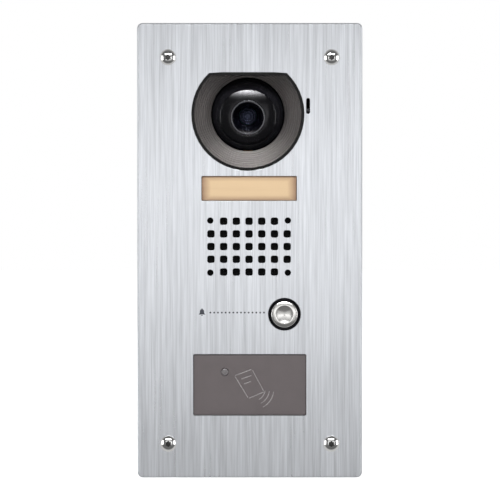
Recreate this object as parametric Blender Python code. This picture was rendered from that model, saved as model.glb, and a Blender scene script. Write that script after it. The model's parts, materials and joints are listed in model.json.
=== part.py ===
"""Flush-mounted door intercom panel with a tilting camera, call button and card reader.

Run it with blender --background --python part.py, or from Blender's text editor.

The frame: X to the right as a visitor faces the panel, Y into the wall, Z up, with the origin
at the centre of the back box's rear face. Sizes below are in millimetres. A depth is a distance
behind the wall's surface, so a negative depth stands in front of the wall.
"""

import math

import bmesh
import bpy
from mathutils import Matrix

MM = 0.001
GAP = 0.2  # room left between pieces that press together on the real panel

# Face plate
PLATE_WIDTH = 135.0
PLATE_HEIGHT = 273.0
PLATE_THICKNESS = 3.0
PLATE_CORNER = 3.2
PLATE_CHAMFER = 0.9
GASKET_THICKNESS = 1.3
PLATE_BACK = -GASKET_THICKNESS - GAP
PLATE_FRONT = PLATE_BACK - PLATE_THICKNESS
BEHIND_PLATE = PLATE_BACK + GAP

# Face screws, at the corners of a rectangle
SCREW_SPACING_X = 98.0
SCREW_SPACING_Z = 232.0
SCREW_HEAD_RADIUS = 4.8
SCREW_HEAD_HEIGHT = 2.3
SCREW_DOME_RISE = 1.9
SCREW_RADIUS = 1.95
SCREW_LENGTH = 13.5
SOCKET_RADIUS = 1.9
SOCKET_DEPTH = 1.5
SOCKET_PIN_RADIUS = 0.65

# Camera opening: a circle with its top cut off flat
CAMERA_X = -1.15
CAMERA_Z = 81.9
CAMERA_RADIUS = 33.9
CAMERA_FLAT = 25.1
SEAL_WALL = 1.6
FLANGE_RADIUS = 34.9
FLANGE_FLAT = 26.2

# Tilting camera head, which turns about a level axis behind the opening
PIVOT_DEPTH = 22.8
BALL_RADIUS = 22.8
BALL_WALL = 1.8
BALL_OPENING = 11.2
COLLAR_RADIUS = 17.2
COLLAR_FRONT = -20.2  # ahead of the tilt axis
BALL_REAR = 5.0
REST_TILT = 6.0  # degrees that the lens looks down at rest
TRUNNION_RADIUS = 2.4
BEZEL_FRONT_RADIUS = 32.2
BEZEL_REAR_RADIUS = 22.2
BEZEL_FLAT = 23.4
BEZEL_THROAT = PIVOT_DEPTH - 11.2  # where the dish ends and a short sleeve begins
BEZEL_REAR = PIVOT_DEPTH - 6.6

# Tilt lever and its slot in the face plate
LEVER_X = 34.95
LEVER_RISE = 4.9
LEVER_SLOT_WIDTH = 2.3
LEVER_SLOT_HEIGHT = 9.5
LEVER_THICKNESS = 1.4
LEVER_TIP_HEIGHT = 1.6
LEVER_TIP_DEPTH = -2.4

# Lamp window
LAMP_X = -0.4
LAMP_Z = 37.4
LAMP_WIDTH = 57.2
LAMP_HEIGHT = 14.9

# Loudspeaker and its grille of square holes, whose four corner holes are small and round
GRILLE_X = -0.45
GRILLE_Z = 2.5
GRILLE_PITCH = 7.62
GRILLE_COLUMNS = 7
GRILLE_ROWS = 5
GRILLE_HOLE = 4.4
GRILLE_HOLE_CORNER = 1.1
CORNER_HOLE_RADIUS = 1.9
CORNER_HOLE_SHIFT = 0.4
SPEAKER_RADIUS = 24.5

# Call button
BUTTON_X = 20.8
BUTTON_Z = -38.1
BUTTON_HOLE_RADIUS = 9.8
BUTTON_RADIUS = 7.9
BUTTON_RIM_RADIUS = 5.4
BUTTON_DISH = 0.95

# Card reader
READER_Z = -80.6
READER_WINDOW_WIDTH = 68.0
READER_WINDOW_HEIGHT = 36.9
READER_WIDTH = 79.5
READER_HEIGHT = 43.9
READER_FRONT = 1.6
READER_BACK = 14.0
READER_LED_X = -15.0
READER_LED_Z = -72.9
READER_LED_RADIUS = 2.2

# Inner casing
CASE_WIDTH = 92.0
CASE_HEIGHT = 167.0
CASE_Z = 28.5
CASE_CORNER = 8.0
CASE_WALL = 2.0
SEPTUM_FRONT = 2.6
SEPTUM_BACK = 4.6
CASE_BACK = 33.0
CASE_STUD_X = 39.5
CASE_STUDS_Z = (96.0, -47.0)
CASE_POST_X = 39.5
BOARD_DEPTH = 22.0
BOARD_THICKNESS = 1.6
BOARD_WIDTH = 70.0
BOARD_HEIGHT = 80.0
BOARD_Z = -12.0
CONNECTOR_RISE = 33.5
TERMINAL_X = -5.0
TERMINAL_Z = -43.0

# Reader bracket
BRACKET_STUD_X = 46.0
BRACKET_FRONT = READER_BACK + GAP
BRACKET_THICKNESS = 1.5

# Threaded studs welded to the back of the face plate
STUD_RADIUS = 1.5
CASE_STUD_END = 9.5
BRACKET_STUD_END = 20.0

# Flush back box
BOX_WIDTH = 118.0
BOX_HEIGHT = 256.0
BOX_DEPTH = 46.0
BOX_SHEET = 1.2
BOX_CORNER = 2.0
BOX_TAB_X = 45.5
BOX_TAB_Z = 110.5
BOX_TAB_FRONT = 0.6
BOX_TAB_THICKNESS = 2.5
BOX_SLOT_X = 35.0
BOX_SLOT_Z = 95.0
BOX_SLOT_LENGTH = 12.0
BOX_SLOT_HEIGHT = 4.8
CABLE_ENTRY_RADIUS = 11.2
CABLE_ENTRY_DEPTH = 24.0
KNOCKOUT_Z = 70.0
KNOCKOUT_RADIUS = 9.6
KNOCKOUT_GROOVE = 0.6
KNOCKOUT_SHEET = 0.4  # left under the groove

SIDES = (("left", -1), ("right", 1))

# Colour, roughness and metallic value of each material
FINISHES = {
    "brushed_steel": ((0.66, 0.67, 0.69), 0.38, 1.0),
    "polished_steel": ((0.80, 0.80, 0.80), 0.12, 1.0),
    "zinc_steel": ((0.56, 0.58, 0.60), 0.45, 1.0),
    "black_plastic": ((0.020, 0.020, 0.022), 0.45, 0.0),
    "gloss_black": ((0.012, 0.012, 0.014), 0.12, 0.0),
    "bezel_grey": ((0.16, 0.15, 0.145), 0.35, 0.6),
    "clear_plastic": ((0.92, 0.94, 0.95), 0.05, 0.0),
    "lens_glass": ((0.45, 0.50, 0.60), 0.03, 0.0),
    "amber_plastic": ((0.86, 0.62, 0.38), 0.35, 0.0),
    "reader_plastic": ((0.15, 0.135, 0.135), 0.32, 0.0),
    "white_plastic": ((0.80, 0.80, 0.78), 0.40, 0.0),
    "rubber": ((0.018, 0.018, 0.018), 0.70, 0.0),
    "foam": ((0.035, 0.035, 0.037), 0.90, 0.0),
    "cloth": ((0.010, 0.010, 0.010), 0.95, 0.0),
    "cone_paper": ((0.05, 0.05, 0.05), 0.85, 0.0),
    "ferrite": ((0.045, 0.045, 0.048), 0.60, 0.2),
    "circuit_board": ((0.02, 0.16, 0.07), 0.40, 0.0),
    "chip": ((0.025, 0.025, 0.028), 0.50, 0.0),
    "copper": ((0.72, 0.36, 0.18), 0.30, 1.0),
    "cable_jacket": ((0.10, 0.10, 0.11), 0.50, 0.0),
}


# ---------------------------------------------------------------------------- outlines


def circle(radius, centre=(0.0, 0.0), steps=24):
    """Points (x, z) round a circle."""
    turns = (math.tau * i / steps for i in range(steps))
    return [(centre[0] + radius * math.cos(a), centre[1] + radius * math.sin(a)) for a in turns]


def rounded_rect(width, height, corner, centre=(0.0, 0.0), steps=4):
    """Points (x, z) round a rectangle with rounded corners."""
    points = []
    for quarter, (side_x, side_z) in enumerate(((1, 1), (-1, 1), (-1, -1), (1, -1))):
        corner_x = centre[0] + side_x * (width / 2 - corner)
        corner_z = centre[1] + side_z * (height / 2 - corner)
        for i in range(steps + 1):
            angle = math.pi / 2 * (quarter + i / steps)
            points.append((corner_x + corner * math.cos(angle), corner_z + corner * math.sin(angle)))
    return points


def camera_outline(radius, flat, arc_steps=36, flat_steps=6):
    """Points (x, z) round a circle whose top is cut off at height flat above its centre.

    Where the circle is too small to reach the flat, its own arc takes the flat's place, so
    every such outline has the same number of points and can be walled to the next.
    """
    corner = math.asin(min(flat / radius, BEZEL_FLAT / BEZEL_FRONT_RADIUS))
    start, sweep = math.pi - corner, math.pi + 2 * corner
    points = []
    for i in range(arc_steps + 1):
        angle = start + sweep * i / arc_steps
        points.append((radius * math.cos(angle), radius * math.sin(angle)))
    half_chord = radius * math.cos(corner)
    for i in range(1, flat_steps):
        x = half_chord * (1 - 2 * i / flat_steps)
        points.append((x, min(flat, math.sqrt(radius**2 - x**2))))
    return [(CAMERA_X + x, CAMERA_Z + z) for x, z in points]


def lobed_outline(radius, depth_share, centre=(0.0, 0.0), lobes=6, steps=18):
    """Points (x, z) round a socket with rounded lobes."""
    points = []
    for i in range(steps):
        angle = math.tau * i / steps
        reach = radius * (1 - depth_share * (1 + math.cos(lobes * angle)) / 2)
        points.append((centre[0] + reach * math.cos(angle), centre[1] + reach * math.sin(angle)))
    return points


# ------------------------------------------------------------------------ solid makers


def material_for(finish):
    """The material of that name, made on first use."""
    material = bpy.data.materials.get(finish)
    if material is None:
        colour, roughness, metallic = FINISHES[finish]
        material = bpy.data.materials.new(finish)
        material.use_nodes = True
        shader = material.node_tree.nodes["Principled BSDF"]
        shader.inputs["Base Color"].default_value = (*colour, 1.0)
        shader.inputs["Roughness"].default_value = roughness
        shader.inputs["Metallic"].default_value = metallic
    return material


def placed(piece, parent=None, centre=(0.0, 0.0)):
    """Adds a piece to the scene, on a joint's axis or else on the wall's surface."""
    bpy.context.scene.collection.objects.link(piece)
    piece.location = (centre[0] * MM, 0.0, centre[1] * MM)
    piece.parent = parent or bpy.data.objects["wall_surface"]
    return piece


def finished(name, mesh, finish, parent=None, centre=(0.0, 0.0)):
    """Turns a bmesh into a named object whose axis stands at centre (x, z)."""
    bmesh.ops.recalc_face_normals(mesh, faces=mesh.faces)
    data = bpy.data.meshes.new(name)
    mesh.to_mesh(data)
    mesh.free()
    data.shade_smooth()
    data.set_sharp_from_angle(angle=math.radians(35))
    data.materials.append(material_for(finish))
    return placed(bpy.data.objects.new(name, data), parent, centre)


def add_loop(mesh, outline, depth):
    """A closed ring of vertices and edges at one depth."""
    ring = [mesh.verts.new((x * MM, depth * MM, z * MM)) for x, z in outline]
    for start, end in zip(ring, ring[1:] + ring[:1]):
        mesh.edges.new((start, end))
    return ring


def add_wall(mesh, near, far):
    """Faces between two rings with the same number of points."""
    for i in range(len(near)):
        j = (i + 1) % len(near)
        mesh.faces.new((near[i], near[j], far[j], far[i]))


def add_cap(mesh, *rings):
    """Flat faces inside the first ring and outside the others."""
    edges = []
    for ring in rings:
        pairs = zip(ring, ring[1:] + ring[:1])
        edges += [mesh.edges.get(pair) for pair in pairs]
    bmesh.ops.triangle_fill(mesh, use_beauty=True, edges=edges, normal=(0, 1, 0))


def slab_mesh(levels, holes=(), front_features=(), back_features=()):
    """A body with flat ends. levels holds (outline, depth) from its front to its back.

    holes are outlines cut right through. A feature is (outline, depth): a pit or a peg that
    starts on that end of the body and stops, closed, at its own depth.
    """
    mesh = bmesh.new()
    skin = [add_loop(mesh, outline, depth) for outline, depth in levels]
    for near, far in zip(skin, skin[1:]):
        add_wall(mesh, near, far)
    front, back = levels[0][1], levels[-1][1]
    front_rings, back_rings = [skin[0]], [skin[-1]]
    for outline in holes:
        near, far = add_loop(mesh, outline, front), add_loop(mesh, outline, back)
        add_wall(mesh, near, far)
        front_rings.append(near)
        back_rings.append(far)
    ends = ((front, front_rings, front_features), (back, back_rings, back_features))
    for depth, rings, features in ends:
        for outline, end in features:
            base, tip = add_loop(mesh, outline, depth), add_loop(mesh, outline, end)
            add_wall(mesh, base, tip)
            add_cap(mesh, tip)
            rings.append(base)
    add_cap(mesh, *front_rings)
    add_cap(mesh, *back_rings)
    return mesh


def slab(name, finish, levels, parent=None, centre=(0.0, 0.0), **features):
    """The body that slab_mesh describes, as an object."""
    return finished(name, slab_mesh(levels, **features), finish, parent, centre)


def straight(outline, front, back):
    """The two levels of a body with straight sides."""
    return [(outline, front), (outline, back)]


def ring_body(name, finish, loops, parent=None):
    """A ring whose cross-section is closed by the given (outline, depth) loops."""
    mesh = bmesh.new()
    rings = [add_loop(mesh, outline, depth) for outline, depth in loops]
    for near, far in zip(rings, rings[1:] + rings[:1]):
        add_wall(mesh, near, far)
    return finished(name, mesh, finish, parent)


def turned_mesh(profile, steps, hollow):
    """Spins (radius, depth) points about the Y axis. A hollow profile closes on itself."""
    mesh = bmesh.new()
    points = [mesh.verts.new((radius * MM, depth * MM, 0.0)) for radius, depth in profile]
    edges = [mesh.edges.new(pair) for pair in zip(points, points[1:])]
    if hollow:
        edges.append(mesh.edges.new((points[-1], points[0])))
    bmesh.ops.spin(
        mesh,
        geom=points + edges,
        cent=(0, 0, 0),
        axis=(0, 1, 0),
        angle=math.tau,
        steps=steps,
        use_merge=True,
    )
    bmesh.ops.remove_doubles(mesh, verts=mesh.verts, dist=1e-7)
    return mesh


def turned(name, finish, profile, centre=(0.0, 0.0), steps=24, hollow=False, parent=None):
    """A round body about an axis along Y through centre (x, z)."""
    return finished(name, turned_mesh(profile, steps, hollow), finish, parent, centre)


def block(name, finish, low, high, parent=None):
    """A box between two corners (x, y, z)."""
    mesh = bmesh.new()
    bmesh.ops.create_cube(mesh, size=1.0)
    size = [(b - a) * MM for a, b in zip(low, high)]
    middle = [(a + b) / 2 * MM for a, b in zip(low, high)]
    bmesh.ops.scale(mesh, vec=size, verts=mesh.verts)
    bmesh.ops.translate(mesh, vec=middle, verts=mesh.verts)
    return finished(name, mesh, finish, parent)


def rod(name, finish, radius, start, end, axis, at=(0.0, 0.0, 0.0), steps=16, parent=None):
    """A plain cylinder from start to end along a world axis, through the point at."""
    mesh = turned_mesh([(0, start), (radius, start), (radius, end), (0, end)], steps, False)
    turn = {"X": Matrix.Rotation(-math.pi / 2, 4, "Z"), "Z": Matrix.Rotation(math.pi / 2, 4, "X")}
    mesh.transform(turn.get(axis, Matrix.Identity(4)))
    bmesh.ops.translate(mesh, vec=[v * MM for v in at], verts=mesh.verts)
    return finished(name, mesh, finish, parent)


def bake(piece):
    """Replaces a piece's mesh with the one its modifiers make."""
    bpy.context.view_layer.update()
    graph = bpy.context.evaluated_depsgraph_get()
    made = bpy.data.meshes.new_from_object(piece.evaluated_get(graph))
    piece.modifiers.clear()
    piece.data = made
    made.name = piece.name


def combine(piece, operation, tools):
    """Joins or cuts a piece with other bodies, which are used up."""
    for tool in tools:
        modifier = piece.modifiers.new(operation.title(), "BOOLEAN")
        modifier.operation = operation
        modifier.solver = "EXACT"
        modifier.object = tool
    bake(piece)
    for tool in tools:
        bpy.data.objects.remove(tool)
    return piece


def tube(name, finish, path, radius, sides=2):
    """A round rod swept along a smooth path of (x, y, z) points."""
    curve = bpy.data.curves.new(name, "CURVE")
    curve.dimensions = "3D"
    curve.bevel_depth = radius * MM
    curve.bevel_resolution = sides
    curve.use_fill_caps = True
    line = curve.splines.new("POLY")
    line.points.add(len(path) - 1)
    for point, place in zip(line.points, path):
        point.co = (*(v * MM for v in place), 1.0)
    curve.materials.append(material_for(finish))
    return placed(bpy.data.objects.new(name, curve))


def joint_axis(name, x, depth, z):
    """An empty on a joint's axis, which carries the pieces that move with it."""
    empty = placed(bpy.data.objects.new(name, None))
    empty.location = (x * MM, depth * MM, z * MM)
    return empty


# --------------------------------------------------------------------------- positions


def four_corners(spacing_x, upper_z, lower_z=None):
    """A name and a place (x, z) for each corner of a rectangle, symmetric if lower_z is left out."""
    rows = (("upper", upper_z), ("lower", -upper_z if lower_z is None else lower_z))
    return [
        (f"{row}_{side_name}", side * spacing_x / 2, z)
        for row, z in rows
        for side_name, side in SIDES
    ]


def grille_outlines():
    """The outlines of the loudspeaker's holes."""
    outlines = []
    for column in range(GRILLE_COLUMNS):
        for row in range(GRILLE_ROWS):
            across = column - (GRILLE_COLUMNS - 1) / 2
            up = row - (GRILLE_ROWS - 1) / 2
            x, z = GRILLE_X + across * GRILLE_PITCH, GRILLE_Z + up * GRILLE_PITCH
            at_corner = column in (0, GRILLE_COLUMNS - 1) and row in (0, GRILLE_ROWS - 1)
            if at_corner:
                x += math.copysign(CORNER_HOLE_SHIFT, across)
                z += math.copysign(CORNER_HOLE_SHIFT, up)
                outlines.append(circle(CORNER_HOLE_RADIUS, (x, z), 12))
            else:
                outlines.append(rounded_rect(GRILLE_HOLE, GRILLE_HOLE, GRILLE_HOLE_CORNER, (x, z), 2))
    return outlines


def microphone_place():
    """The middle of the grille's lower left corner hole."""
    x = GRILLE_X - (GRILLE_COLUMNS - 1) / 2 * GRILLE_PITCH - CORNER_HOLE_SHIFT
    z = GRILLE_Z - (GRILLE_ROWS - 1) / 2 * GRILLE_PITCH - CORNER_HOLE_SHIFT
    return (x, z)


def lamp_outline(width, height, corner=0.5, steps=2):
    return rounded_rect(width, height, corner, (LAMP_X, LAMP_Z), steps)


def reader_outline(width, height, corner, steps=2):
    return rounded_rect(width, height, corner, (0.0, READER_Z), steps)


def case_outline(inset=0.0):
    return rounded_rect(
        CASE_WIDTH - 2 * inset, CASE_HEIGHT - 2 * inset, CASE_CORNER - inset, (0.0, CASE_Z)
    )


# ---------------------------------------------------------------------- the face plate


def make_face_plate():
    def outline(inset):
        return rounded_rect(PLATE_WIDTH - 2 * inset, PLATE_HEIGHT - 2 * inset, PLATE_CORNER - inset)

    lever_slot = rounded_rect(
        LEVER_SLOT_WIDTH,
        LEVER_SLOT_HEIGHT,
        0.49 * LEVER_SLOT_WIDTH,
        (LEVER_X, CAMERA_Z + LEVER_RISE),
        3,
    )
    holes = [
        camera_outline(CAMERA_RADIUS, CAMERA_FLAT),
        lever_slot,
        lamp_outline(LAMP_WIDTH, LAMP_HEIGHT),
        circle(BUTTON_HOLE_RADIUS, (BUTTON_X, BUTTON_Z), 32),
        reader_outline(READER_WINDOW_WIDTH, READER_WINDOW_HEIGHT, 0.8),
        *grille_outlines(),
    ]
    for _, x, z in four_corners(SCREW_SPACING_X, SCREW_SPACING_Z / 2):
        holes.append(circle(SCREW_RADIUS + 0.65, (x, z), 20))
    studs = []
    for _, x, z in four_corners(2 * CASE_STUD_X, *CASE_STUDS_Z):
        studs.append((circle(STUD_RADIUS, (x, z), 12), CASE_STUD_END))
    for _, side in SIDES:
        place = (side * BRACKET_STUD_X, READER_Z)
        studs.append((circle(STUD_RADIUS, place, 12), BRACKET_STUD_END))
    levels = [
        (outline(PLATE_CHAMFER), PLATE_FRONT),
        (outline(0.0), PLATE_FRONT + PLATE_CHAMFER),
        (outline(0.0), PLATE_BACK),
    ]
    slab("face_plate", "brushed_steel", levels, holes=holes, back_features=studs)


def make_face_gasket():
    outer = rounded_rect(PLATE_WIDTH - 4, PLATE_HEIGHT - 4, 2.0)
    inner = rounded_rect(BOX_WIDTH + 1.4, BOX_HEIGHT + 1.4, 2.0)
    ring = [(outer, BEHIND_PLATE), (outer, 0.0), (inner, 0.0), (inner, BEHIND_PLATE)]
    ring_body("face_gasket", "foam", ring)


def make_face_screws():
    """Domed screws with a lobed socket round a central pin, so that common drivers don't fit."""
    seat = PLATE_FRONT - GAP / 2
    top = seat - SCREW_HEAD_HEIGHT
    curve = (SCREW_HEAD_RADIUS**2 + SCREW_DOME_RISE**2) / (2 * SCREW_DOME_RISE)
    rim_tilt = math.asin(SCREW_HEAD_RADIUS / curve)
    dome = []
    for i in range(4):
        tilt = rim_tilt * i / 3
        dome.append((curve * math.sin(tilt), top + curve * (1 - math.cos(tilt))))
    shank = [
        (SCREW_HEAD_RADIUS - 0.15, seat),
        (SCREW_RADIUS, seat),
        (SCREW_RADIUS, seat + SCREW_LENGTH - 0.6),
        (SCREW_RADIUS - 0.6, seat + SCREW_LENGTH),
        (0, seat + SCREW_LENGTH),
    ]
    first = turned("face_screw", "polished_steel", dome + shank, steps=18)
    socket = slab(
        "socket",
        "polished_steel",
        straight(lobed_outline(SOCKET_RADIUS, 0.24), top - 1.0, top + SOCKET_DEPTH),
        holes=[circle(SOCKET_PIN_RADIUS, steps=8)],
    )
    combine(first, "DIFFERENCE", [socket])
    for name, x, z in four_corners(SCREW_SPACING_X, SCREW_SPACING_Z / 2):
        placed(bpy.data.objects.new("face_screw_" + name, first.data), centre=(x, z))
    bpy.data.objects.remove(first)


# ------------------------------------------------------------------- camera, fixed part


def make_camera_window():
    """A clear window with a plug that fills the opening and a flange behind the plate."""
    inset = SEAL_WALL + GAP
    flange_front = BEHIND_PLATE + 0.7
    flange_back = flange_front + 1.4
    radius, flat = CAMERA_RADIUS - inset, CAMERA_FLAT - inset
    levels = [
        (camera_outline(radius - 0.4, flat - 0.4), PLATE_FRONT + 0.2),
        (camera_outline(radius, flat), PLATE_FRONT + 0.5),
        (camera_outline(radius, flat), flange_front),
        (camera_outline(FLANGE_RADIUS, FLANGE_FLAT), flange_front),
        (camera_outline(FLANGE_RADIUS, FLANGE_FLAT), flange_back),
    ]
    slab("camera_window", "clear_plastic", levels)


def make_camera_window_seal():
    sleeve = camera_outline(CAMERA_RADIUS - GAP, CAMERA_FLAT - GAP)
    bore = camera_outline(CAMERA_RADIUS - SEAL_WALL, CAMERA_FLAT - SEAL_WALL)
    flange = camera_outline(FLANGE_RADIUS, FLANGE_FLAT)
    loops = [
        (bore, PLATE_FRONT + 0.1),
        (sleeve, PLATE_FRONT + 0.1),
        (sleeve, BEHIND_PLATE),
        (flange, BEHIND_PLATE),
        (flange, BEHIND_PLATE + 0.5),
        (bore, BEHIND_PLATE + 0.5),
    ]
    ring_body("camera_window_seal", "rubber", loops)


def make_camera_bezel():
    """A dish that narrows from the window to a sleeve round the ball, with a flat on top."""
    front, flange_back, wall = 1.0, 2.4, 1.5
    loops = [
        (camera_outline(BEZEL_FRONT_RADIUS, BEZEL_FLAT), front),
        (camera_outline(BEZEL_REAR_RADIUS, BEZEL_FLAT), BEZEL_THROAT),
        (camera_outline(BEZEL_REAR_RADIUS, BEZEL_FLAT), BEZEL_REAR),
        (camera_outline(BEZEL_REAR_RADIUS + wall, BEZEL_FLAT + wall), BEZEL_REAR),
        (camera_outline(BEZEL_FRONT_RADIUS + 0.7, BEZEL_FLAT + wall), flange_back),
        (camera_outline(FLANGE_RADIUS, FLANGE_FLAT), flange_back),
        (camera_outline(FLANGE_RADIUS, FLANGE_FLAT), front),
    ]
    ring_body("camera_bezel", "bezel_grey", loops)


FRAME_FRONT = BEZEL_REAR - 1.4
FRAME_BACK = FRAME_FRONT + 2.0
EAR_INNER = 28.0
EAR_OUTER = 31.0
EAR_BACK = PIVOT_DEPTH + 6.0
RIGHT_TRUNNION_END = EAR_OUTER + 4.0


def make_camera_frame():
    """A plate on four legs whose two ears hold the ball's trunnions in snap-in notches."""
    centre = (CAMERA_X, CAMERA_Z)
    legs = []
    for _, x, z in four_corners(61.0, 22.5):
        legs.append((circle(2.6, (CAMERA_X + x, CAMERA_Z + z), 12), SEPTUM_BACK + GAP))
    frame = slab(
        "camera_frame",
        "black_plastic",
        straight(rounded_rect(68.0, 54.0, 5.0, centre), FRAME_FRONT, FRAME_BACK),
        holes=[circle(25.0, centre, 32)],
        front_features=legs,
    )
    ears, notches = [], []
    for side in (-1, 1):
        low_x, high_x = sorted((CAMERA_X + side * EAR_INNER, CAMERA_X + side * EAR_OUTER))
        low = (low_x, FRAME_BACK - 0.8, CAMERA_Z - 5.0)
        high = (high_x, EAR_BACK, CAMERA_Z + 5.0)
        ears.append(block("ear", "black_plastic", low, high))
        low = (low_x - 1.0, PIVOT_DEPTH, CAMERA_Z - 2.1)
        high = (high_x + 1.0, EAR_BACK + 1.0, CAMERA_Z + 2.1)
        notches.append(block("notch", "black_plastic", low, high))
    bearing = rod(
        "bearing",
        "black_plastic",
        TRUNNION_RADIUS + 0.25,
        CAMERA_X - 40.0,
        CAMERA_X + 40.0,
        "X",
        (0.0, PIVOT_DEPTH, CAMERA_Z),
    )
    combine(frame, "UNION", ears)
    combine(frame, "DIFFERENCE", [bearing, *notches])


# ------------------------------------------------------------------ camera, moving part


def make_camera_ball(head):
    """A spherical shell with a raised collar round the lens, open behind for the circuit board."""
    inner_radius = BALL_RADIUS - BALL_WALL
    steps = 6

    def arc(radius, opening):
        start = math.asin(opening / radius)
        end = math.acos(-BALL_REAR / radius)
        angles = [start + (end - start) * i / steps for i in range(steps + 1)]
        return [(radius * math.sin(a), -radius * math.cos(a)) for a in angles]

    collar = [
        (BALL_OPENING - 0.6, COLLAR_FRONT + 0.6),
        (BALL_OPENING, COLLAR_FRONT),
        (COLLAR_RADIUS - 3.0, COLLAR_FRONT + 0.9),
        (COLLAR_RADIUS - 0.3, COLLAR_FRONT + 2.1),
        (COLLAR_RADIUS, COLLAR_FRONT + 2.8),
    ]
    inside = arc(inner_radius, BALL_OPENING - 0.6)[::-1]
    profile = collar + arc(BALL_RADIUS, COLLAR_RADIUS) + inside
    ball = turned("camera_ball", "gloss_black", profile, steps=36, hollow=True)
    root = inner_radius + 0.3
    right = rod("right_trunnion", "gloss_black", TRUNNION_RADIUS, root, RIGHT_TRUNNION_END, "X")
    left = rod("left_trunnion", "gloss_black", TRUNNION_RADIUS, -EAR_OUTER - 0.6, -root, "X")
    combine(ball, "UNION", [right, left])
    ball.parent = head


def make_lens_parts(head):
    holder = [
        (10.2, -20.2),
        (10.2, -2.0),
        (20.5, -2.0),
        (20.5, 0.0),
        (5.4, 0.0),
        (5.4, -11.0),
        (7.4, -14.5),
        (7.4, -17.0),
        (8.8, -17.0),
        (8.8, -19.6),
        (9.4, -20.2),
    ]
    turned("lens_holder", "gloss_black", holder, hollow=True, parent=head)
    front = [(0, -20.0), (3.0, -19.8), (6.0, -19.2), (8.5, -18.2)]
    front += [(8.5, -17.2), (5.0, -17.2), (0, -17.9)]
    turned("front_lens", "lens_glass", front, parent=head)
    rear = [(0, -11.6), (2.6, -11.3), (5.1, -10.4), (5.1, -8.4), (0, -8.4)]
    turned("rear_lens", "lens_glass", rear, steps=16, parent=head)


def make_camera_board(head):
    outline = rounded_rect(27.0, 27.0, 2.0, steps=2)
    chips = [
        (rounded_rect(6.0, 6.0, 0.4, (-6.0, -6.5), 1), 2.9),
        (rounded_rect(3.0, 8.0, 0.4, (8.0, 2.0), 1), 2.7),
    ]
    slab("camera_board", "circuit_board", straight(outline, GAP, 1.7), parent=head, back_features=chips)
    sensor = straight(rounded_rect(7.0, 6.0, 0.3, steps=1), -1.4, 0.0)
    window = (rounded_rect(5.0, 4.0, 0.2, steps=1), -1.2)
    slab("image_sensor", "chip", sensor, parent=head, front_features=[window])


def make_tilt_lever(head):
    """A hub on the right trunnion with an arm that reaches forward into the plate's slot."""
    hub_radius = 4.2
    tip = LEVER_TIP_DEPTH - PIVOT_DEPTH
    half_tip = LEVER_TIP_HEIGHT / 2
    outline = []
    for i in range(11):
        angle = math.radians(219 + 260 * i / 10)
        outline.append((hub_radius * math.cos(angle), hub_radius * math.sin(angle)))
    outline += [
        (tip + 9.0, LEVER_RISE + half_tip + 0.2),
        (tip + 0.4, LEVER_RISE + half_tip),
        (tip, LEVER_RISE + half_tip - 0.4),
        (tip, LEVER_RISE - half_tip + 0.4),
        (tip + 0.4, LEVER_RISE - half_tip),
        (tip + 9.0, LEVER_RISE - half_tip - 0.2),
    ]
    middle = LEVER_X - CAMERA_X
    near, far = middle - LEVER_THICKNESS / 2, middle + LEVER_THICKNESS / 2
    screw_hole = circle(1.1, steps=12)
    mesh = slab_mesh(straight(outline, -far, -near), holes=[screw_hole])
    mesh.transform(Matrix.Rotation(math.pi / 2, 4, "Z"))
    lever = finished("tilt_lever", mesh, "black_plastic")
    hub_start, hub_end = EAR_OUTER + 0.4, near + 0.6
    bore, outside = TRUNNION_RADIUS + GAP, hub_radius - 0.3
    profile = [(bore, -hub_start), (outside, -hub_start), (outside, -hub_end), (bore, -hub_end)]
    sleeve_mesh = turned_mesh(profile, 16, True)
    sleeve_mesh.transform(Matrix.Rotation(math.pi / 2, 4, "Z"))
    combine(lever, "UNION", [finished("hub_sleeve", sleeve_mesh, "black_plastic")])
    lever.parent = head
    screw_end = RIGHT_TRUNNION_END + GAP
    profile = [
        (0, -far - 1.3),
        (1.5, -far - 1.2),
        (1.9, -far - 0.7),
        (1.9, -far - GAP / 2),
        (0.9, -far - GAP / 2),
        (0.9, -screw_end),
        (0, -screw_end),
    ]
    mesh = turned_mesh(profile, 16, False)
    mesh.transform(Matrix.Rotation(math.pi / 2, 4, "Z"))
    finished("lever_screw", mesh, "polished_steel", head)


def make_camera_cable():
    """A flat ribbon from the middle of the camera board down to the main board."""
    path = [(26.6, 81.0), (30.4, 75.0), (32.2, 67.0), (32.2, 56.0), (30.2, 46.0), (26.4, 36.0)]
    path += [(24.2, 26.5), (24.2, BOARD_Z + CONNECTOR_RISE + 2.2)]
    half = 0.15
    front_side = [(depth - half, z) for depth, z in path]
    back_side = [(depth + half, z) for depth, z in path]
    mesh = slab_mesh(straight(front_side + back_side[::-1], -CAMERA_X - 4.0, -CAMERA_X + 4.0))
    mesh.transform(Matrix.Rotation(math.pi / 2, 4, "Z"))
    finished("camera_cable", mesh, "copper")


# -------------------------------------------------------------------------------- lamp


def make_lamp():
    plug = lamp_outline(LAMP_WIDTH - 0.6, LAMP_HEIGHT - 0.6, 0.4)
    flange = lamp_outline(61.0, 18.8, 0.8)
    flange_front = BEHIND_PLATE
    levels = [(plug, PLATE_FRONT + 1.5), (plug, flange_front), (flange, flange_front), (flange, 0.4)]
    slab("lamp_window", "amber_plastic", levels)
    back = 9.6
    loops = [
        (lamp_outline(57.0, 15.0), 0.6),
        (lamp_outline(50.0, 8.0), back),
        (lamp_outline(60.0, 18.0, 1.0), back),
        (lamp_outline(60.0, 18.0, 1.0), 0.6),
    ]
    ring_body("lamp_reflector", "white_plastic", loops)
    board = straight(lamp_outline(58.0, 16.0, 1.0), back + GAP, back + GAP + 1.4)
    slab("lamp_board", "circuit_board", board)
    dome = [(0, 6.8), (1.1, 7.0), (1.9, 7.7), (2.1, 8.4), (2.5, 8.5), (2.5, back), (0, back)]
    for name, side in SIDES:
        turned("lamp_led_" + name, "white_plastic", dome, (LAMP_X + 14.0 * side, LAMP_Z), steps=16)


# --------------------------------------------------------------- speaker and microphone


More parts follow.
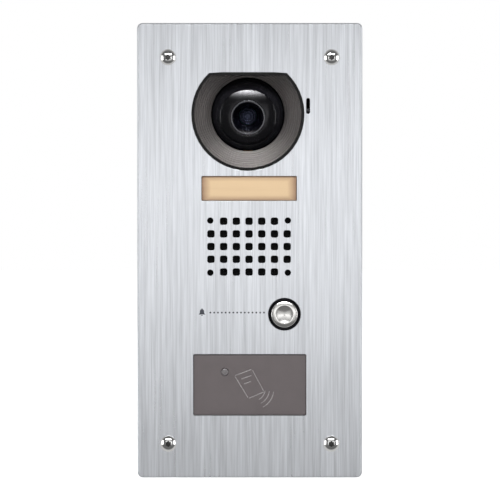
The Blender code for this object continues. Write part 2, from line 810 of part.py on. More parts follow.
def make_speaker():
    centre = (GRILLE_X, GRILLE_Z)
    cloth = straight(rounded_rect(54.0, 38.0, 3.0, centre, 2), BEHIND_PLATE, BEHIND_PLATE + 0.4)
    slab("grille_cloth", "cloth", cloth)
    gasket_front = BEHIND_PLATE + 0.6
    ring = [(21.5, gasket_front), (SPEAKER_RADIUS, gasket_front), (SPEAKER_RADIUS, 1.0), (21.5, 1.0)]
    turned("speaker_gasket", "foam", ring, centre, hollow=True)
    basket = [
        (21.4, 1.2),
        (SPEAKER_RADIUS, 1.2),
        (SPEAKER_RADIUS, 2.4),
        (22.2, 2.4),
        (22.2, 4.6),
        (14.2, 12.2),
        (6.9, 12.2),
        (6.9, 11.4),
        (13.7, 11.4),
        (21.4, 4.2),
    ]
    frame = turned("speaker_frame", "zinc_steel", basket, centre, hollow=True)
    cutters = []
    for half_x, half_z in ((26.0, 5.0), (5.0, 26.0)):
        low = (centre[0] - half_x, 6.0, centre[1] - half_z)
        high = (centre[0] + half_x, 10.0, centre[1] + half_z)
        cutters.append(block("basket_window", "zinc_steel", low, high))
    combine(frame, "DIFFERENCE", cutters)
    magnet = [(6.9, 12.4), (13.0, 12.4), (13.0, 17.4), (6.9, 17.4)]
    turned("speaker_magnet", "ferrite", magnet, centre, hollow=True)
    yoke = [(0, 11.6), (5.2, 11.6), (5.2, 17.6), (12.6, 17.6), (12.6, 19.6), (0, 19.6)]
    turned("speaker_yoke", "zinc_steel", yoke, centre)
    cone = [
        (0, 6.4),
        (5.8, 7.9),
        (17.8, 2.6),
        (19.3, 1.7),
        (20.9, 2.4),
        (20.9, 3.0),
        (19.3, 2.3),
        (17.9, 3.2),
        (6.3, 8.4),
        (6.3, 13.2),
        (5.7, 13.2),
        (5.7, 8.5),
        (0, 7.0),
    ]
    turned("speaker_cone", "cone_paper", cone, centre)


def make_microphone():
    centre = microphone_place()
    front = BEHIND_PLATE + 0.6
    boot = [(1.2, front), (3.2, front), (3.2, 6.4), (2.35, 6.4), (2.35, 1.2), (1.2, 1.2)]
    turned("microphone_boot", "rubber", boot, centre, steps=20, hollow=True)
    capsule = [(0, 1.4), (1.9, 1.4), (2.1, 1.6), (2.1, 5.8), (0, 5.8)]
    turned("microphone", "zinc_steel", capsule, centre, steps=20)


# --------------------------------------------------------------------------- call button


BUTTON_FLOOR_FRONT = 7.6
BUTTON_FLOOR_BACK = 9.0
STEM_RADIUS = 2.4
STEM_END = 15.8
GROOVE_FRONT = 9.3
GROOVE_BACK = 10.3


def make_button_bezel():
    inner = BUTTON_RADIUS + 0.3
    profile = [
        (inner, PLATE_FRONT - 0.3),
        (inner + 0.7, PLATE_FRONT - 0.5),
        (BUTTON_HOLE_RADIUS - GAP, PLATE_FRONT - 0.2),
        (BUTTON_HOLE_RADIUS - GAP, BEHIND_PLATE),
        (12.0, BEHIND_PLATE),
        (12.0, 0.4),
        (9.4, 0.4),
        (9.4, BUTTON_FLOOR_BACK),
        (STEM_RADIUS + 0.3, BUTTON_FLOOR_BACK),
        (STEM_RADIUS + 0.3, BUTTON_FLOOR_FRONT),
        (inner, BUTTON_FLOOR_FRONT),
    ]
    turned("button_bezel", "gloss_black", profile, (BUTTON_X, BUTTON_Z), steps=32, hollow=True)


def make_button_cap(button):
    """A metal cap with a raised rim round a dished middle, on a grooved stem."""
    crest = PLATE_FRONT - 1.7
    profile = [
        (0, crest + BUTTON_DISH),
        (0.4 * BUTTON_RIM_RADIUS, crest + 0.8 * BUTTON_DISH),
        (0.7 * BUTTON_RIM_RADIUS, crest + 0.5 * BUTTON_DISH),
        (BUTTON_RIM_RADIUS, crest),
        (BUTTON_RIM_RADIUS + 0.8, crest + 0.15),
        (BUTTON_RADIUS - 0.4, crest + 0.65),
        (BUTTON_RADIUS, crest + 1.2),
        (BUTTON_RADIUS, 0.5),
        (6.6, 0.5),
        (6.6, -3.4),
        (STEM_RADIUS, -3.4),
        (STEM_RADIUS, GROOVE_FRONT),
        (1.7, GROOVE_FRONT),
        (1.7, GROOVE_BACK),
        (STEM_RADIUS, GROOVE_BACK),
        (STEM_RADIUS, STEM_END - 0.3),
        (STEM_RADIUS - 0.3, STEM_END),
        (0, STEM_END),
    ]
    turned("button_cap", "polished_steel", profile, steps=32, parent=button)


def make_button_clip(button):
    """A C-shaped clip in the stem's groove, which stops the button from coming out."""
    half_gap = math.radians(35)
    steps = 10
    sweep = math.tau - 2 * half_gap
    angles = [-math.pi / 2 + half_gap + sweep * i / steps for i in range(steps + 1)]
    outer = [(4.0 * math.cos(a), 4.0 * math.sin(a)) for a in angles]
    inner = [(1.9 * math.cos(a), 1.9 * math.sin(a)) for a in angles]
    levels = straight(outer + inner[::-1], GROOVE_FRONT + GAP, GROOVE_BACK - GAP)
    slab("button_clip", "polished_steel", levels, parent=button)


def make_button_spring():
    """A coil spring between the cap and the bezel's floor."""
    wire, coil, turns, per_turn = 0.4, 4.9, 4, 12
    start, end = -3.4 + GAP + wire, BUTTON_FLOOR_FRONT - GAP - wire
    path = []
    for i in range(turns * per_turn + 1):
        share = i / (turns * per_turn)
        angle = math.tau * turns * share
        x = BUTTON_X + coil * math.cos(angle)
        z = BUTTON_Z + coil * math.sin(angle)
        path.append((x, start + (end - start) * share, z))
    tube("button_spring", "polished_steel", path, wire, sides=1)


def make_call_switch(plunger_carrier):
    front, back = 18.0, BOARD_DEPTH - GAP
    bore = 1.9
    centre = (BUTTON_X, BUTTON_Z)
    mesh = bmesh.new()
    body_front = add_loop(mesh, rounded_rect(12, 12, 1.0, centre, 2), front)
    body_back = add_loop(mesh, rounded_rect(12, 12, 1.0, centre, 2), back)
    collar_base = add_loop(mesh, circle(3.4, centre, 20), front)
    collar_tip = add_loop(mesh, circle(3.4, centre, 20), front - 0.8)
    bore_mouth = add_loop(mesh, circle(bore, centre, 20), front - 0.8)
    bore_end = add_loop(mesh, circle(bore, centre, 20), back - 0.4)
    add_wall(mesh, body_front, body_back)
    add_wall(mesh, collar_base, collar_tip)
    add_wall(mesh, collar_tip, bore_mouth)
    add_wall(mesh, bore_mouth, bore_end)
    add_cap(mesh, body_front, collar_base)
    add_cap(mesh, body_back)
    add_cap(mesh, bore_end)
    finished("call_switch", mesh, "black_plastic")
    start = STEM_END + GAP
    profile = [(0, start), (1.3, start), (1.6, start + 0.3), (1.6, 20.0), (0, 20.0)]
    turned("switch_plunger", "white_plastic", profile, steps=20, parent=plunger_carrier)


# -------------------------------------------------------------------------- inner casing


def make_case():
    """An open-backed casing whose cross-wall carries the camera, lamp, speaker and button."""
    mesh = bmesh.new()
    inner = case_outline(CASE_WALL)
    outer_front = add_loop(mesh, case_outline(), BEHIND_PLATE)
    outer_back = add_loop(mesh, case_outline(), CASE_BACK)
    front_rim = add_loop(mesh, inner, BEHIND_PLATE)
    front_floor = add_loop(mesh, inner, SEPTUM_FRONT)
    back_floor = add_loop(mesh, inner, SEPTUM_BACK)
    back_rim = add_loop(mesh, inner, CASE_BACK)
    add_wall(mesh, outer_front, outer_back)
    add_wall(mesh, outer_front, front_rim)
    add_wall(mesh, front_rim, front_floor)
    add_wall(mesh, back_floor, back_rim)
    add_wall(mesh, back_rim, outer_back)
    lever_slot = rounded_rect(2.4, 13.0, 1.0, (LEVER_X, CAMERA_Z + LEVER_RISE - 1.2), 2)
    holes = [
        camera_outline(CAMERA_RADIUS - 0.2, FLANGE_FLAT - 0.6),
        lever_slot,
        lamp_outline(60.8, 18.8, 1.0),
        circle(22.7, (GRILLE_X, GRILLE_Z)),
        circle(3.4, microphone_place(), 16),
        circle(9.7, (BUTTON_X, BUTTON_Z)),
    ]
    for _, x, z in four_corners(2 * CASE_STUD_X, *CASE_STUDS_Z):
        holes.append(circle(STUD_RADIUS + 0.3, (x, z), 12))
    front_rings, back_rings = [front_floor], [back_floor]
    for outline in holes:
        near, far = add_loop(mesh, outline, SEPTUM_FRONT), add_loop(mesh, outline, SEPTUM_BACK)
        add_wall(mesh, near, far)
        front_rings.append(near)
        back_rings.append(far)
    posts = []
    for x in (-CASE_POST_X, CASE_POST_X):
        posts.append((circle(2.8, (x, 0.0), 12), CASE_BACK - GAP, 1.2))
        for z in (BOARD_Z + 36.0, BOARD_Z - 36.0):
            post_x = math.copysign(32.0, x)
            posts.append((circle(2.2, (post_x, z), 10), BOARD_DEPTH - GAP, None))
    for outline, end, screw_radius in posts:
        base, tip = add_loop(mesh, outline, SEPTUM_BACK), add_loop(mesh, outline, end)
        add_wall(mesh, base, tip)
        back_rings.append(base)
        if screw_radius is None:
            add_cap(mesh, tip)
            continue
        middle = (sum(x for x, _ in outline) / len(outline), sum(z for _, z in outline) / len(outline))
        mouth = add_loop(mesh, circle(screw_radius, middle, 10), end)
        bottom = add_loop(mesh, circle(screw_radius, middle, 10), end - 8.0)
        add_cap(mesh, tip, mouth)
        add_wall(mesh, mouth, bottom)
        add_cap(mesh, bottom)
    add_cap(mesh, *front_rings)
    add_cap(mesh, *back_rings)
    finished("inner_case", mesh, "black_plastic")


def make_rear_cover():
    front = CASE_BACK + GAP
    holes = [rounded_rect(34.0, 13.0, 1.0, (TERMINAL_X, TERMINAL_Z), 1)]
    holes += [circle(1.6, (side * CASE_POST_X, 0.0), 12) for side in (-1, 1)]
    for i in range(5):
        holes.append(rounded_rect(26.0, 1.8, 0.8, (0.0, 46.0 + 5.0 * i), 1))
    slab("rear_cover", "black_plastic", straight(case_outline(), front, front + 2.0), holes=holes)
    seat = front + 2.0 + GAP / 2
    profile = [
        (0, seat + 1.6),
        (1.8, seat + 1.4),
        (2.7, seat + 0.7),
        (2.7, seat),
        (1.0, seat),
        (1.0, seat - 8.0),
        (0, seat - 8.0),
    ]
    for name, side in SIDES:
        turned("cover_screw_" + name, "zinc_steel", profile, (side * CASE_POST_X, 0.0), steps=16)


def make_main_board():
    outline = rounded_rect(BOARD_WIDTH, BOARD_HEIGHT, 2.0, (0.0, BOARD_Z), 2)
    back = BOARD_DEPTH + BOARD_THICKNESS
    components = [
        (rounded_rect(14.0, 14.0, 0.5, (-12.0, 2.0), 1), back + 1.6),
        (rounded_rect(8.0, 5.0, 0.4, (12.0, 8.0), 1), back + 1.4),
        (rounded_rect(12.0, 4.0, 0.4, (0.0, BOARD_Z + CONNECTOR_RISE), 1), back + 1.0),
        (circle(4.0, (24.0, -14.0), 14), back + 7.0),
        (circle(3.0, (24.0, -24.0), 14), back + 6.0),
    ]
    levels = straight(outline, BOARD_DEPTH, back)
    slab("main_board", "circuit_board", levels, back_features=components)


def make_terminal_block():
    """Six screw terminals in a row, reached through the rear cover."""
    front = BOARD_DEPTH + BOARD_THICKNESS + GAP
    back = 38.0
    outline = rounded_rect(31.0, 10.0, 0.6, (TERMINAL_X, TERMINAL_Z), 1)
    pits = []
    for i in range(6):
        x = TERMINAL_X + 5.0 * (i - 2.5)
        pits.append((circle(1.9, (x, TERMINAL_Z + 1.6), 12), back - 1.5))
        pits.append((rounded_rect(3.0, 2.2, 0.3, (x, TERMINAL_Z - 3.0), 1), back - 5.0))
    slab("terminal_block", "black_plastic", straight(outline, front, back), back_features=pits)


def nut(name, x, z, front):
    hexagon = circle(3.1, (x, z), 6)
    bore = circle(STUD_RADIUS + 0.15, (x, z), 12)
    slab(name, "zinc_steel", straight(hexagon, front, front + 2.4), holes=[bore])


def make_nuts():
    for name, x, z in four_corners(2 * CASE_STUD_X, *CASE_STUDS_Z):
        nut("case_nut_" + name, x, z, SEPTUM_BACK + GAP)
    for name, side in SIDES:
        front = BRACKET_FRONT + BRACKET_THICKNESS + GAP
        nut("bracket_nut_" + name, side * BRACKET_STUD_X, READER_Z, front)


# --------------------------------------------------------------------------- card reader


def make_reader():
    plug = reader_outline(READER_WINDOW_WIDTH - 0.6, READER_WINDOW_HEIGHT - 0.6, 0.6)
    flange = reader_outline(72.0, 41.0, 1.0)
    led_hole = circle(READER_LED_RADIUS + 0.2, (READER_LED_X, READER_LED_Z), 20)
    levels = [(plug, PLATE_FRONT + 1.0), (plug, BEHIND_PLATE), (flange, BEHIND_PLATE), (flange, 0.4)]
    slab("reader_window", "reader_plastic", levels, holes=[led_hole])
    front = PLATE_FRONT + 0.5
    led = [
        (0, front),
        (1.2, front + 0.15),
        (READER_LED_RADIUS, front + 0.7),
        (READER_LED_RADIUS, 0.6),
        (3.4, 0.6),
        (3.4, 1.3),
        (0, 1.3),
    ]
    turned("reader_led_lens", "reader_plastic", led, (READER_LED_X, READER_LED_Z), steps=20)
    shell = reader_outline(READER_WIDTH, READER_HEIGHT, 4.0, 4)
    cavity = reader_outline(READER_WIDTH - 4.0, READER_HEIGHT - 4.0, 3.0, 4)
    levels = straight(shell, READER_FRONT, READER_BACK)
    slab("reader_housing", "black_plastic", levels, back_features=[(cavity, READER_FRONT + 1.8)])
    coil = straight(reader_outline(70.0, 34.0, 6.0, 4), READER_FRONT + 2.0, 6.6)
    slab("reader_coil", "copper", coil, holes=[reader_outline(62.0, 26.0, 4.0, 4)])
    board = straight(reader_outline(66.0, 31.0, 1.5), 6.8, 8.4)
    chips = [(reader_outline(9.0, 9.0, 0.5, 1), 9.8)]
    slab("reader_board", "circuit_board", board, back_features=chips)
    outline = rounded_rect(104.0, 24.0, 3.0, (0.0, READER_Z), 2)
    holes = [circle(STUD_RADIUS + 0.3, (side * BRACKET_STUD_X, READER_Z), 12) for side in (-1, 1)]
    holes.append(circle(4.0, (0.0, READER_Z), 16))
    levels = straight(outline, BRACKET_FRONT, BRACKET_FRONT + BRACKET_THICKNESS)
    slab("reader_bracket", "zinc_steel", levels, holes=holes)


def make_reader_cable():
    """A round cable that bends out of the reader and up behind the rear cover."""
    x, radius, bend = 0.0, 1.9, 12.0
    level = 40.5
    path = [(x, 10.2, READER_Z), (x, 19.0, READER_Z)]
    for i in range(7):
        angle = math.radians(15 * i)
        path.append((x, level - bend + bend * math.sin(angle), READER_Z + bend * (1 - math.cos(angle))))
    path.append((x - 1.0, level, -60.0))
    path.append((x - 3.0, level, TERMINAL_Z - 7.0))
    tube("reader_cable", "cable_jacket", path, radius)


# ----------------------------------------------------------------------------- back box


def make_back_box():
    """A deep sheet-metal box with tapped tabs for the face screws, wall slots and knock-outs."""
    outer = rounded_rect(BOX_WIDTH, BOX_HEIGHT, BOX_CORNER)
    inner = rounded_rect(BOX_WIDTH - 2 * BOX_SHEET, BOX_HEIGHT - 2 * BOX_SHEET, BOX_CORNER - 0.9)
    box = slab(
        "back_box",
        "zinc_steel",
        straight(outer, GAP, BOX_DEPTH),
        front_features=[(inner, BOX_DEPTH - BOX_SHEET)],
    )
    tabs, cuts = [], []
    for _, side, up in four_corners(2, 1):
        corner_x, corner_z = BOX_WIDTH / 2 - BOX_SHEET / 2, BOX_HEIGHT / 2 - BOX_SHEET / 2
        low_x, high_x = sorted((side * BOX_TAB_X, side * corner_x))
        low_z, high_z = sorted((up * BOX_TAB_Z, up * corner_z))
        low = (low_x, BOX_TAB_FRONT, low_z)
        high = (high_x, BOX_TAB_FRONT + BOX_TAB_THICKNESS, high_z)
        tabs.append(block("tab", "zinc_steel", low, high))
        place = (side * SCREW_SPACING_X / 2, 0.0, up * SCREW_SPACING_Z / 2)
        cuts.append(rod("tapped_hole", "zinc_steel", SCREW_RADIUS + GAP, -1.0, 6.0, "Y", place, 16))
        centre = (side * BOX_SLOT_X, up * BOX_SLOT_Z)
        slot = rounded_rect(BOX_SLOT_LENGTH, BOX_SLOT_HEIGHT, BOX_SLOT_HEIGHT / 2 - 0.05, centre, 3)
        cuts.append(slab("fixing_slot", "zinc_steel", straight(slot, BOX_DEPTH - 4, BOX_DEPTH + 2)))
    for up in (-1, 1):
        start, end = sorted((up * (BOX_HEIGHT / 2 - 4), up * (BOX_HEIGHT / 2 + 2)))
        place = (0.0, CABLE_ENTRY_DEPTH, 0.0)
        cuts.append(rod("cable_entry", "zinc_steel", CABLE_ENTRY_RADIUS, start, end, "Z", place, 24))
    floor, outside = BOX_WIDTH / 2 - BOX_SHEET + KNOCKOUT_SHEET, BOX_WIDTH / 2 + 1
    rim = KNOCKOUT_RADIUS + KNOCKOUT_GROOVE
    groove = [(KNOCKOUT_RADIUS, floor), (rim, floor), (rim, outside), (KNOCKOUT_RADIUS, outside)]
    for _, side in SIDES:
        mesh = turned_mesh(groove, 18, True)
        mesh.transform(Matrix.Rotation(-side * math.pi / 2, 4, "Z"))
        bmesh.ops.translate(mesh, vec=(0.0, CABLE_ENTRY_DEPTH * MM, KNOCKOUT_Z * MM), verts=mesh.verts)
        cuts.append(finished("knockout_groove", mesh, "zinc_steel"))
    combine(box, "UNION", tabs)
    combine(box, "DIFFERENCE", cuts)


def make_entry_fittings():
    """A rubber grommet in the upper cable entry and a blanking plug in the lower one."""
    sheet = BOX_SHEET / 2 + GAP
    neck = CABLE_ENTRY_RADIUS - GAP
    flange = CABLE_ENTRY_RADIUS + 1.8
    grommet = [
        (5.0, -2.2),
        (flange, -2.2),
        (flange, -sheet),
        (neck, -sheet),
        (neck, sheet),
        (flange, sheet),
        (flange, 2.2),
        (5.0, 2.2),
    ]
    plug = [
        (0, -1.6),
        (flange, -1.6),
        (flange, -sheet),
        (neck, -sheet),
        (neck, 3.0),
        (neck - 1.2, 3.0),
        (neck - 1.2, -0.4),
        (0, -0.4),
    ]
    fittings = (
        ("cable_grommet", "rubber", grommet, True, 1),
        ("blanking_plug", "zinc_steel", plug, False, -1),
    )
    for name, finish, profile, hollow, up in fittings:
        mesh = turned_mesh(profile, 20, hollow)
        mesh.transform(Matrix.Rotation(math.pi / 2, 4, "X"))
        middle = up * (BOX_HEIGHT - BOX_SHEET) / 2
        bmesh.ops.translate(mesh, vec=(0.0, CABLE_ENTRY_DEPTH * MM, middle * MM), verts=mesh.verts)
        finished(name, mesh, finish)


# ------------------------------------------------------------------------ the whole panel


def make_camera_head():
    """Every piece that turns with the camera, on an empty at the tilt axis."""
    head = joint_axis("camera_tilt_axis", CAMERA_X, PIVOT_DEPTH, CAMERA_Z)
    make_camera_ball(head)
    make_lens_parts(head)
    make_camera_board(head)
    make_tilt_lever(head)
    head.rotation_euler.x = math.radians(REST_TILT)


def make_button():
    button = joint_axis("button_axis", BUTTON_X, 0.0, BUTTON_Z)
    make_button_bezel()
    make_button_cap(button)
    make_button_clip(button)
    make_button_spring()
    make_call_switch(button)


def main():
    for thing in list(bpy.data.objects):
        bpy.data.objects.remove(thing)
    wall_surface = bpy.data.objects.new("wall_surface", None)
    wall_surface.location.y = -BOX_DEPTH * MM
    bpy.context.scene.collection.objects.link(wall_surface)
    make_face_plate()
    make_face_gasket()
    make_face_screws()
    make_camera_window()
    make_camera_window_seal()
    make_camera_bezel()
    make_camera_frame()
    make_camera_head()
    make_camera_cable()
    make_lamp()
    make_speaker()
    make_microphone()
    make_button()
    make_case()
    make_rear_cover()
    make_main_board()
    make_terminal_block()
    make_nuts()
    make_reader()
    make_reader_cable()
    make_back_box()
    make_entry_fittings()
    bpy.context.view_layer.update()


main()
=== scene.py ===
"""The looks of the door intercom panel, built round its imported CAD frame.

Pieces that need finer shapes than the CAD's are built here in mesh code and stand for their CAD
nodes. The other pieces are the CAD nodes themselves, with softened edges. Every one gets a
procedural material. Shapes are written in millimetres: x to the right, depth into the wall from
its surface, and z up, each from the middle of the piece that is being made.
"""

import json
import math

import bmesh
import bpy
from mathutils import Matrix, Vector


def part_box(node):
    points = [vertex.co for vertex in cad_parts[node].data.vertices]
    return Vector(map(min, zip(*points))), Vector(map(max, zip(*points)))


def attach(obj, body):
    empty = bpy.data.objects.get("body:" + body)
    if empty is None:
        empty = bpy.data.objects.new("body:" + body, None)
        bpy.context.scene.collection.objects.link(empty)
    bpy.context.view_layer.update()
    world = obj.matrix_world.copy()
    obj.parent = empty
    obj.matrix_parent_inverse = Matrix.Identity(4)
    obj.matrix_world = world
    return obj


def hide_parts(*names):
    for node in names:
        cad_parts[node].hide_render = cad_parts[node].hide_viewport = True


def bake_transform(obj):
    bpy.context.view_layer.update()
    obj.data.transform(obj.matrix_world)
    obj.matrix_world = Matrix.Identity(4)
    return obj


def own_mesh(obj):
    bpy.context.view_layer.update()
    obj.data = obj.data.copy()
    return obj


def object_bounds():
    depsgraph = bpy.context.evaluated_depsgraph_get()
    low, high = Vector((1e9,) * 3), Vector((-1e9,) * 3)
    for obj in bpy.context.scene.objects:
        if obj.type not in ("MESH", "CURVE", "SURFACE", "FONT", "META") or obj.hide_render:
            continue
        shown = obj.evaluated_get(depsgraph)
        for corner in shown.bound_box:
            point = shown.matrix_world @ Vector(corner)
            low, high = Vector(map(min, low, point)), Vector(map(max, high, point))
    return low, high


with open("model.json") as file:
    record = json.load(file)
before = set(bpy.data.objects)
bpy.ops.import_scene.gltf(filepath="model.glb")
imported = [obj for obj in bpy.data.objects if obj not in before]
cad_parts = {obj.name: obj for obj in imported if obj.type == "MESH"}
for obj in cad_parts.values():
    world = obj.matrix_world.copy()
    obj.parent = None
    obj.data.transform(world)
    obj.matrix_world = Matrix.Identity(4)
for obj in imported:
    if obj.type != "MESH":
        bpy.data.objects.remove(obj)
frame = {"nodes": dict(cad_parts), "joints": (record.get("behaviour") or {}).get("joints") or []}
CAD_LOW, CAD_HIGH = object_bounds()

MM = 0.001
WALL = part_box("face_gasket")[1].y
PLATE_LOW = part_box("face_plate")[0]
PLATE_FRONT = (PLATE_LOW.y - WALL) / MM
JOINTS = {joint["name"]: joint for joint in frame["joints"]}
TILT_AXIS = Vector(JOINTS["camera_tilt"]["pos_m"])
REST_TILT = math.radians(6.0)  # how far the camera looks down at rest
SIDES = (("left", -1), ("right", 1))
CORNERS = [f"{row}_{side}" for row in ("upper", "lower") for side, _ in SIDES]


def on_wall(x, z):
    """The place of a piece whose axis meets the wall's surface at x and z, in metres."""
    return Matrix.Translation((x, WALL, z)) @ Matrix.Scale(MM, 4)


def middle_of(node):
    low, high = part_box(node)
    return (low + high) / 2


def on_axis_of(node):
    """The place of a piece on the same axis as a round CAD node."""
    middle = middle_of(node)
    return on_wall(middle.x, middle.z)


def depths_of(node):
    """Where a CAD node starts and ends, in millimetres behind the wall's surface."""
    low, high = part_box(node)
    return (low.y - WALL) / MM, (high.y - WALL) / MM


# The camera opening is a circle with a flat top. Its centre is a radius above its lowest point.
OPENING_LOW, OPENING_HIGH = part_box("camera_bezel")
OPENING_RADIUS = (OPENING_HIGH.x - OPENING_LOW.x) / 2
OPENING_X = (OPENING_LOW.x + OPENING_HIGH.x) / 2
OPENING_Z = OPENING_LOW.z + OPENING_RADIUS
IN_OPENING = on_wall(OPENING_X, OPENING_Z)
IN_HEAD = Matrix.Translation(TILT_AXIS) @ Matrix.Rotation(REST_TILT, 4, "X") @ Matrix.Scale(MM, 4)


# -------- materials


class Nodes:
    """Adds nodes to a material's, a lamp's or the world's node tree."""

    def __init__(self, tree):
        self.tree = tree

    def feed(self, node, key, value):
        """Sets a node's input, given by name or number, to a value or to another node's output."""
        if isinstance(value, bpy.types.NodeSocket):
            self.tree.links.new(value, node.inputs[key])
        else:
            node.inputs[key].default_value = value

    def add(self, kind, inputs=None, **settings):
        node = self.tree.nodes.new(kind)
        for key, value in settings.items():
            setattr(node, key, value)
        for key, value in (inputs or {}).items():
            self.feed(node, key, value)
        return node

    def calc(self, operation, first, second=0.0):
        return self.add("ShaderNodeMath", {0: first, 1: second}, operation=operation).outputs[0]

    def between(self, pattern, low, high, start=0.3, end=0.7):
        """The pattern's range from start to end, as a number from low to high."""
        inputs = {"Value": pattern, "From Min": start, "From Max": end, "To Min": low, "To Max": high}
        return self.add("ShaderNodeMapRange", inputs).outputs["Result"]

    def blend(self, pattern, first, second):
        """A colour that goes from the first to the second as the pattern goes from 0 to 1."""
        inputs = {0: pattern}
        for key, colour in ((6, first), (7, second)):
            inputs[key] = colour if isinstance(colour, bpy.types.NodeSocket) else (*colour, 1.0)
        return self.add("ShaderNodeMix", inputs, data_type="RGBA").outputs[2]


class Recipe(Nodes):
    """A Principled material whose inputs can be driven by node patterns."""

    def __init__(self, name, colour, roughness, metallic=0.0, extra=None):
        self.material = bpy.data.materials.new(name)
        self.material.use_nodes = True
        super().__init__(self.material.node_tree)
        self.shader = self.tree.nodes["Principled BSDF"]
        self.colour = colour
        inputs = {"Base Color": (*colour, 1.0), "Roughness": roughness, "Metallic": metallic}
        for key, value in (inputs | (extra or {})).items():
            self.feed(self.shader, key, value)
        self.place = self.add("ShaderNodeTexCoord").outputs["Object"]

    def stretched(self, stretch):
        """The place on the piece, with each axis scaled."""
        return self.add("ShaderNodeMapping", {"Vector": self.place, "Scale": stretch}).outputs[0]

    def noise(self, scale, stretch=(1, 1, 1), detail=3.0):
        """A soft random pattern with features about 1 / scale metres wide."""
        inputs = {"Vector": self.stretched(stretch), "Scale": scale, "Detail": detail}
        return self.add("ShaderNodeTexNoise", inputs).outputs["Fac"]

    def cells(self, scale):
        """A pattern of flat random patches."""
        inputs = {"Vector": self.place, "Scale": scale}
        return self.add("ShaderNodeTexVoronoi", inputs).outputs["Color"]

    def shade(self, pattern, darkest, lightest):
        """Varies the colour between two multiples of itself."""
        dark = [darkest * c for c in self.colour]
        light = [min(1.0, lightest * c) for c in self.colour]
        self.feed(self.shader, "Base Color", self.blend(pattern, dark, light))

    def roughen(self, pattern, low, high):
        self.feed(self.shader, "Roughness", self.between(pattern, low, high))

    def emboss(self, pattern, height_mm, strength=1.0):
        inputs = {"Height": pattern, "Distance": height_mm * MM, "Strength": strength}
        self.feed(self.shader, "Normal", self.add("ShaderNodeBump", inputs).outputs["Normal"])


def brushed_steel():
    """Sheet brushed upwards: streaks that are long in z and fine in x."""
    recipe = Recipe("brushed_steel", (0.70, 0.72, 0.755), 0.34, 1.0, {"Anisotropic": 0.75})
    across = recipe.add("ShaderNodeCombineXYZ", {"X": 1.0}).outputs[0]
    recipe.feed(recipe.shader, "Tangent", across)
    patches = recipe.noise(60.0, (1, 1, 0.25), 2.0)
    long_streaks = recipe.noise(600.0, (1, 1, 0.022), 4.0)
    short_streaks = recipe.noise(1700.0, (1, 1, 0.018), 3.0)
    long_share = recipe.calc("MULTIPLY", long_streaks, 0.55)
    mixed = recipe.calc("ADD", long_share, recipe.calc("MULTIPLY", short_streaks, 0.45))
    recipe.shade(recipe.between(mixed, 0.0, 1.0, 0.36, 0.64), 0.78, 1.12)
    grain = recipe.between(long_streaks, 0.27, 0.39)
    grain = recipe.calc("ADD", grain, recipe.between(patches, -0.03, 0.03))
    recipe.feed(recipe.shader, "Roughness", grain)
    recipe.emboss(mixed, 0.02, 0.35)
    return recipe.material


def smooth_metal(name, colour, roughness, scale, detail, shades, spread, bump=0.0):
    """Metal whose colour and shine vary a little: two multiples of the colour, two roughnesses."""
    recipe = Recipe(name, colour, roughness, 1.0)
    scuffs = recipe.noise(scale, detail=detail)
    recipe.shade(scuffs, *shades)
    recipe.roughen(scuffs, *spread)
    if bump:
        recipe.emboss(scuffs, 0.01, bump)
    return recipe.material


def zinc_steel():
    """Galvanised steel, with a patchwork of crystals."""
    recipe = Recipe("zinc_steel", (0.62, 0.64, 0.66), 0.40, 1.0)
    crystals = recipe.calc("MULTIPLY", recipe.cells(230.0), 0.55)
    smears = recipe.calc("MULTIPLY", recipe.noise(90.0, detail=5.0), 0.6)
    recipe.shade(recipe.calc("ADD", crystals, smears), 0.70, 1.12)
    recipe.roughen(crystals, 0.30, 0.48)
    recipe.emboss(recipe.noise(1200.0), 0.02, 0.2)
    return recipe.material


def moulded_plastic(name, colour, roughness, grain_mm=0.03):
    """Plastic with the fine even texture of an etched mould."""
    recipe = Recipe(name, colour, roughness)
    grain = recipe.noise(3500.0, detail=2.0)
    marks = recipe.noise(120.0, detail=5.0)
    recipe.shade(marks, 0.85, 1.12)
    recipe.roughen(marks, roughness - 0.06, roughness + 0.08)
    recipe.emboss(grain, grain_mm, 0.3)
    return recipe.material


def gloss_black(name, grey, shine):
    """Polished plastic. shine is the strength of its reflections, 0.5 being the usual."""
    colour = (grey, grey, 1.2 * grey)
    recipe = Recipe(name, colour, 0.12, 0.0, {"Specular IOR Level": shine})
    swirls = recipe.noise(300.0, detail=5.0)
    recipe.roughen(swirls, 0.07, 0.15)
    recipe.emboss(recipe.noise(900.0), 0.004, 0.15)
    return recipe.material


def deep_black(name, roughness, shine):
    """Black plastic that reflects little. A shine of 0.5 would be the usual."""
    recipe = Recipe(name, (0.002, 0.002, 0.003), roughness, 0.0, {"Specular IOR Level": shine})
    grain = recipe.noise(1800.0)
    recipe.shade(grain, 0.6, 1.6)
    recipe.roughen(grain, roughness - 0.02, roughness + 0.04)
    return recipe.material


def bezel_plastic():
    """Metallic grey-brown paint on the grooved dish."""
    recipe = Recipe("bezel_plastic", (0.136, 0.126, 0.118), 0.40, 0.95)
    recipe.shade(recipe.cells(6000.0), 0.85, 1.15)
    recipe.roughen(recipe.noise(500.0), 0.35, 0.45)
    return recipe.material


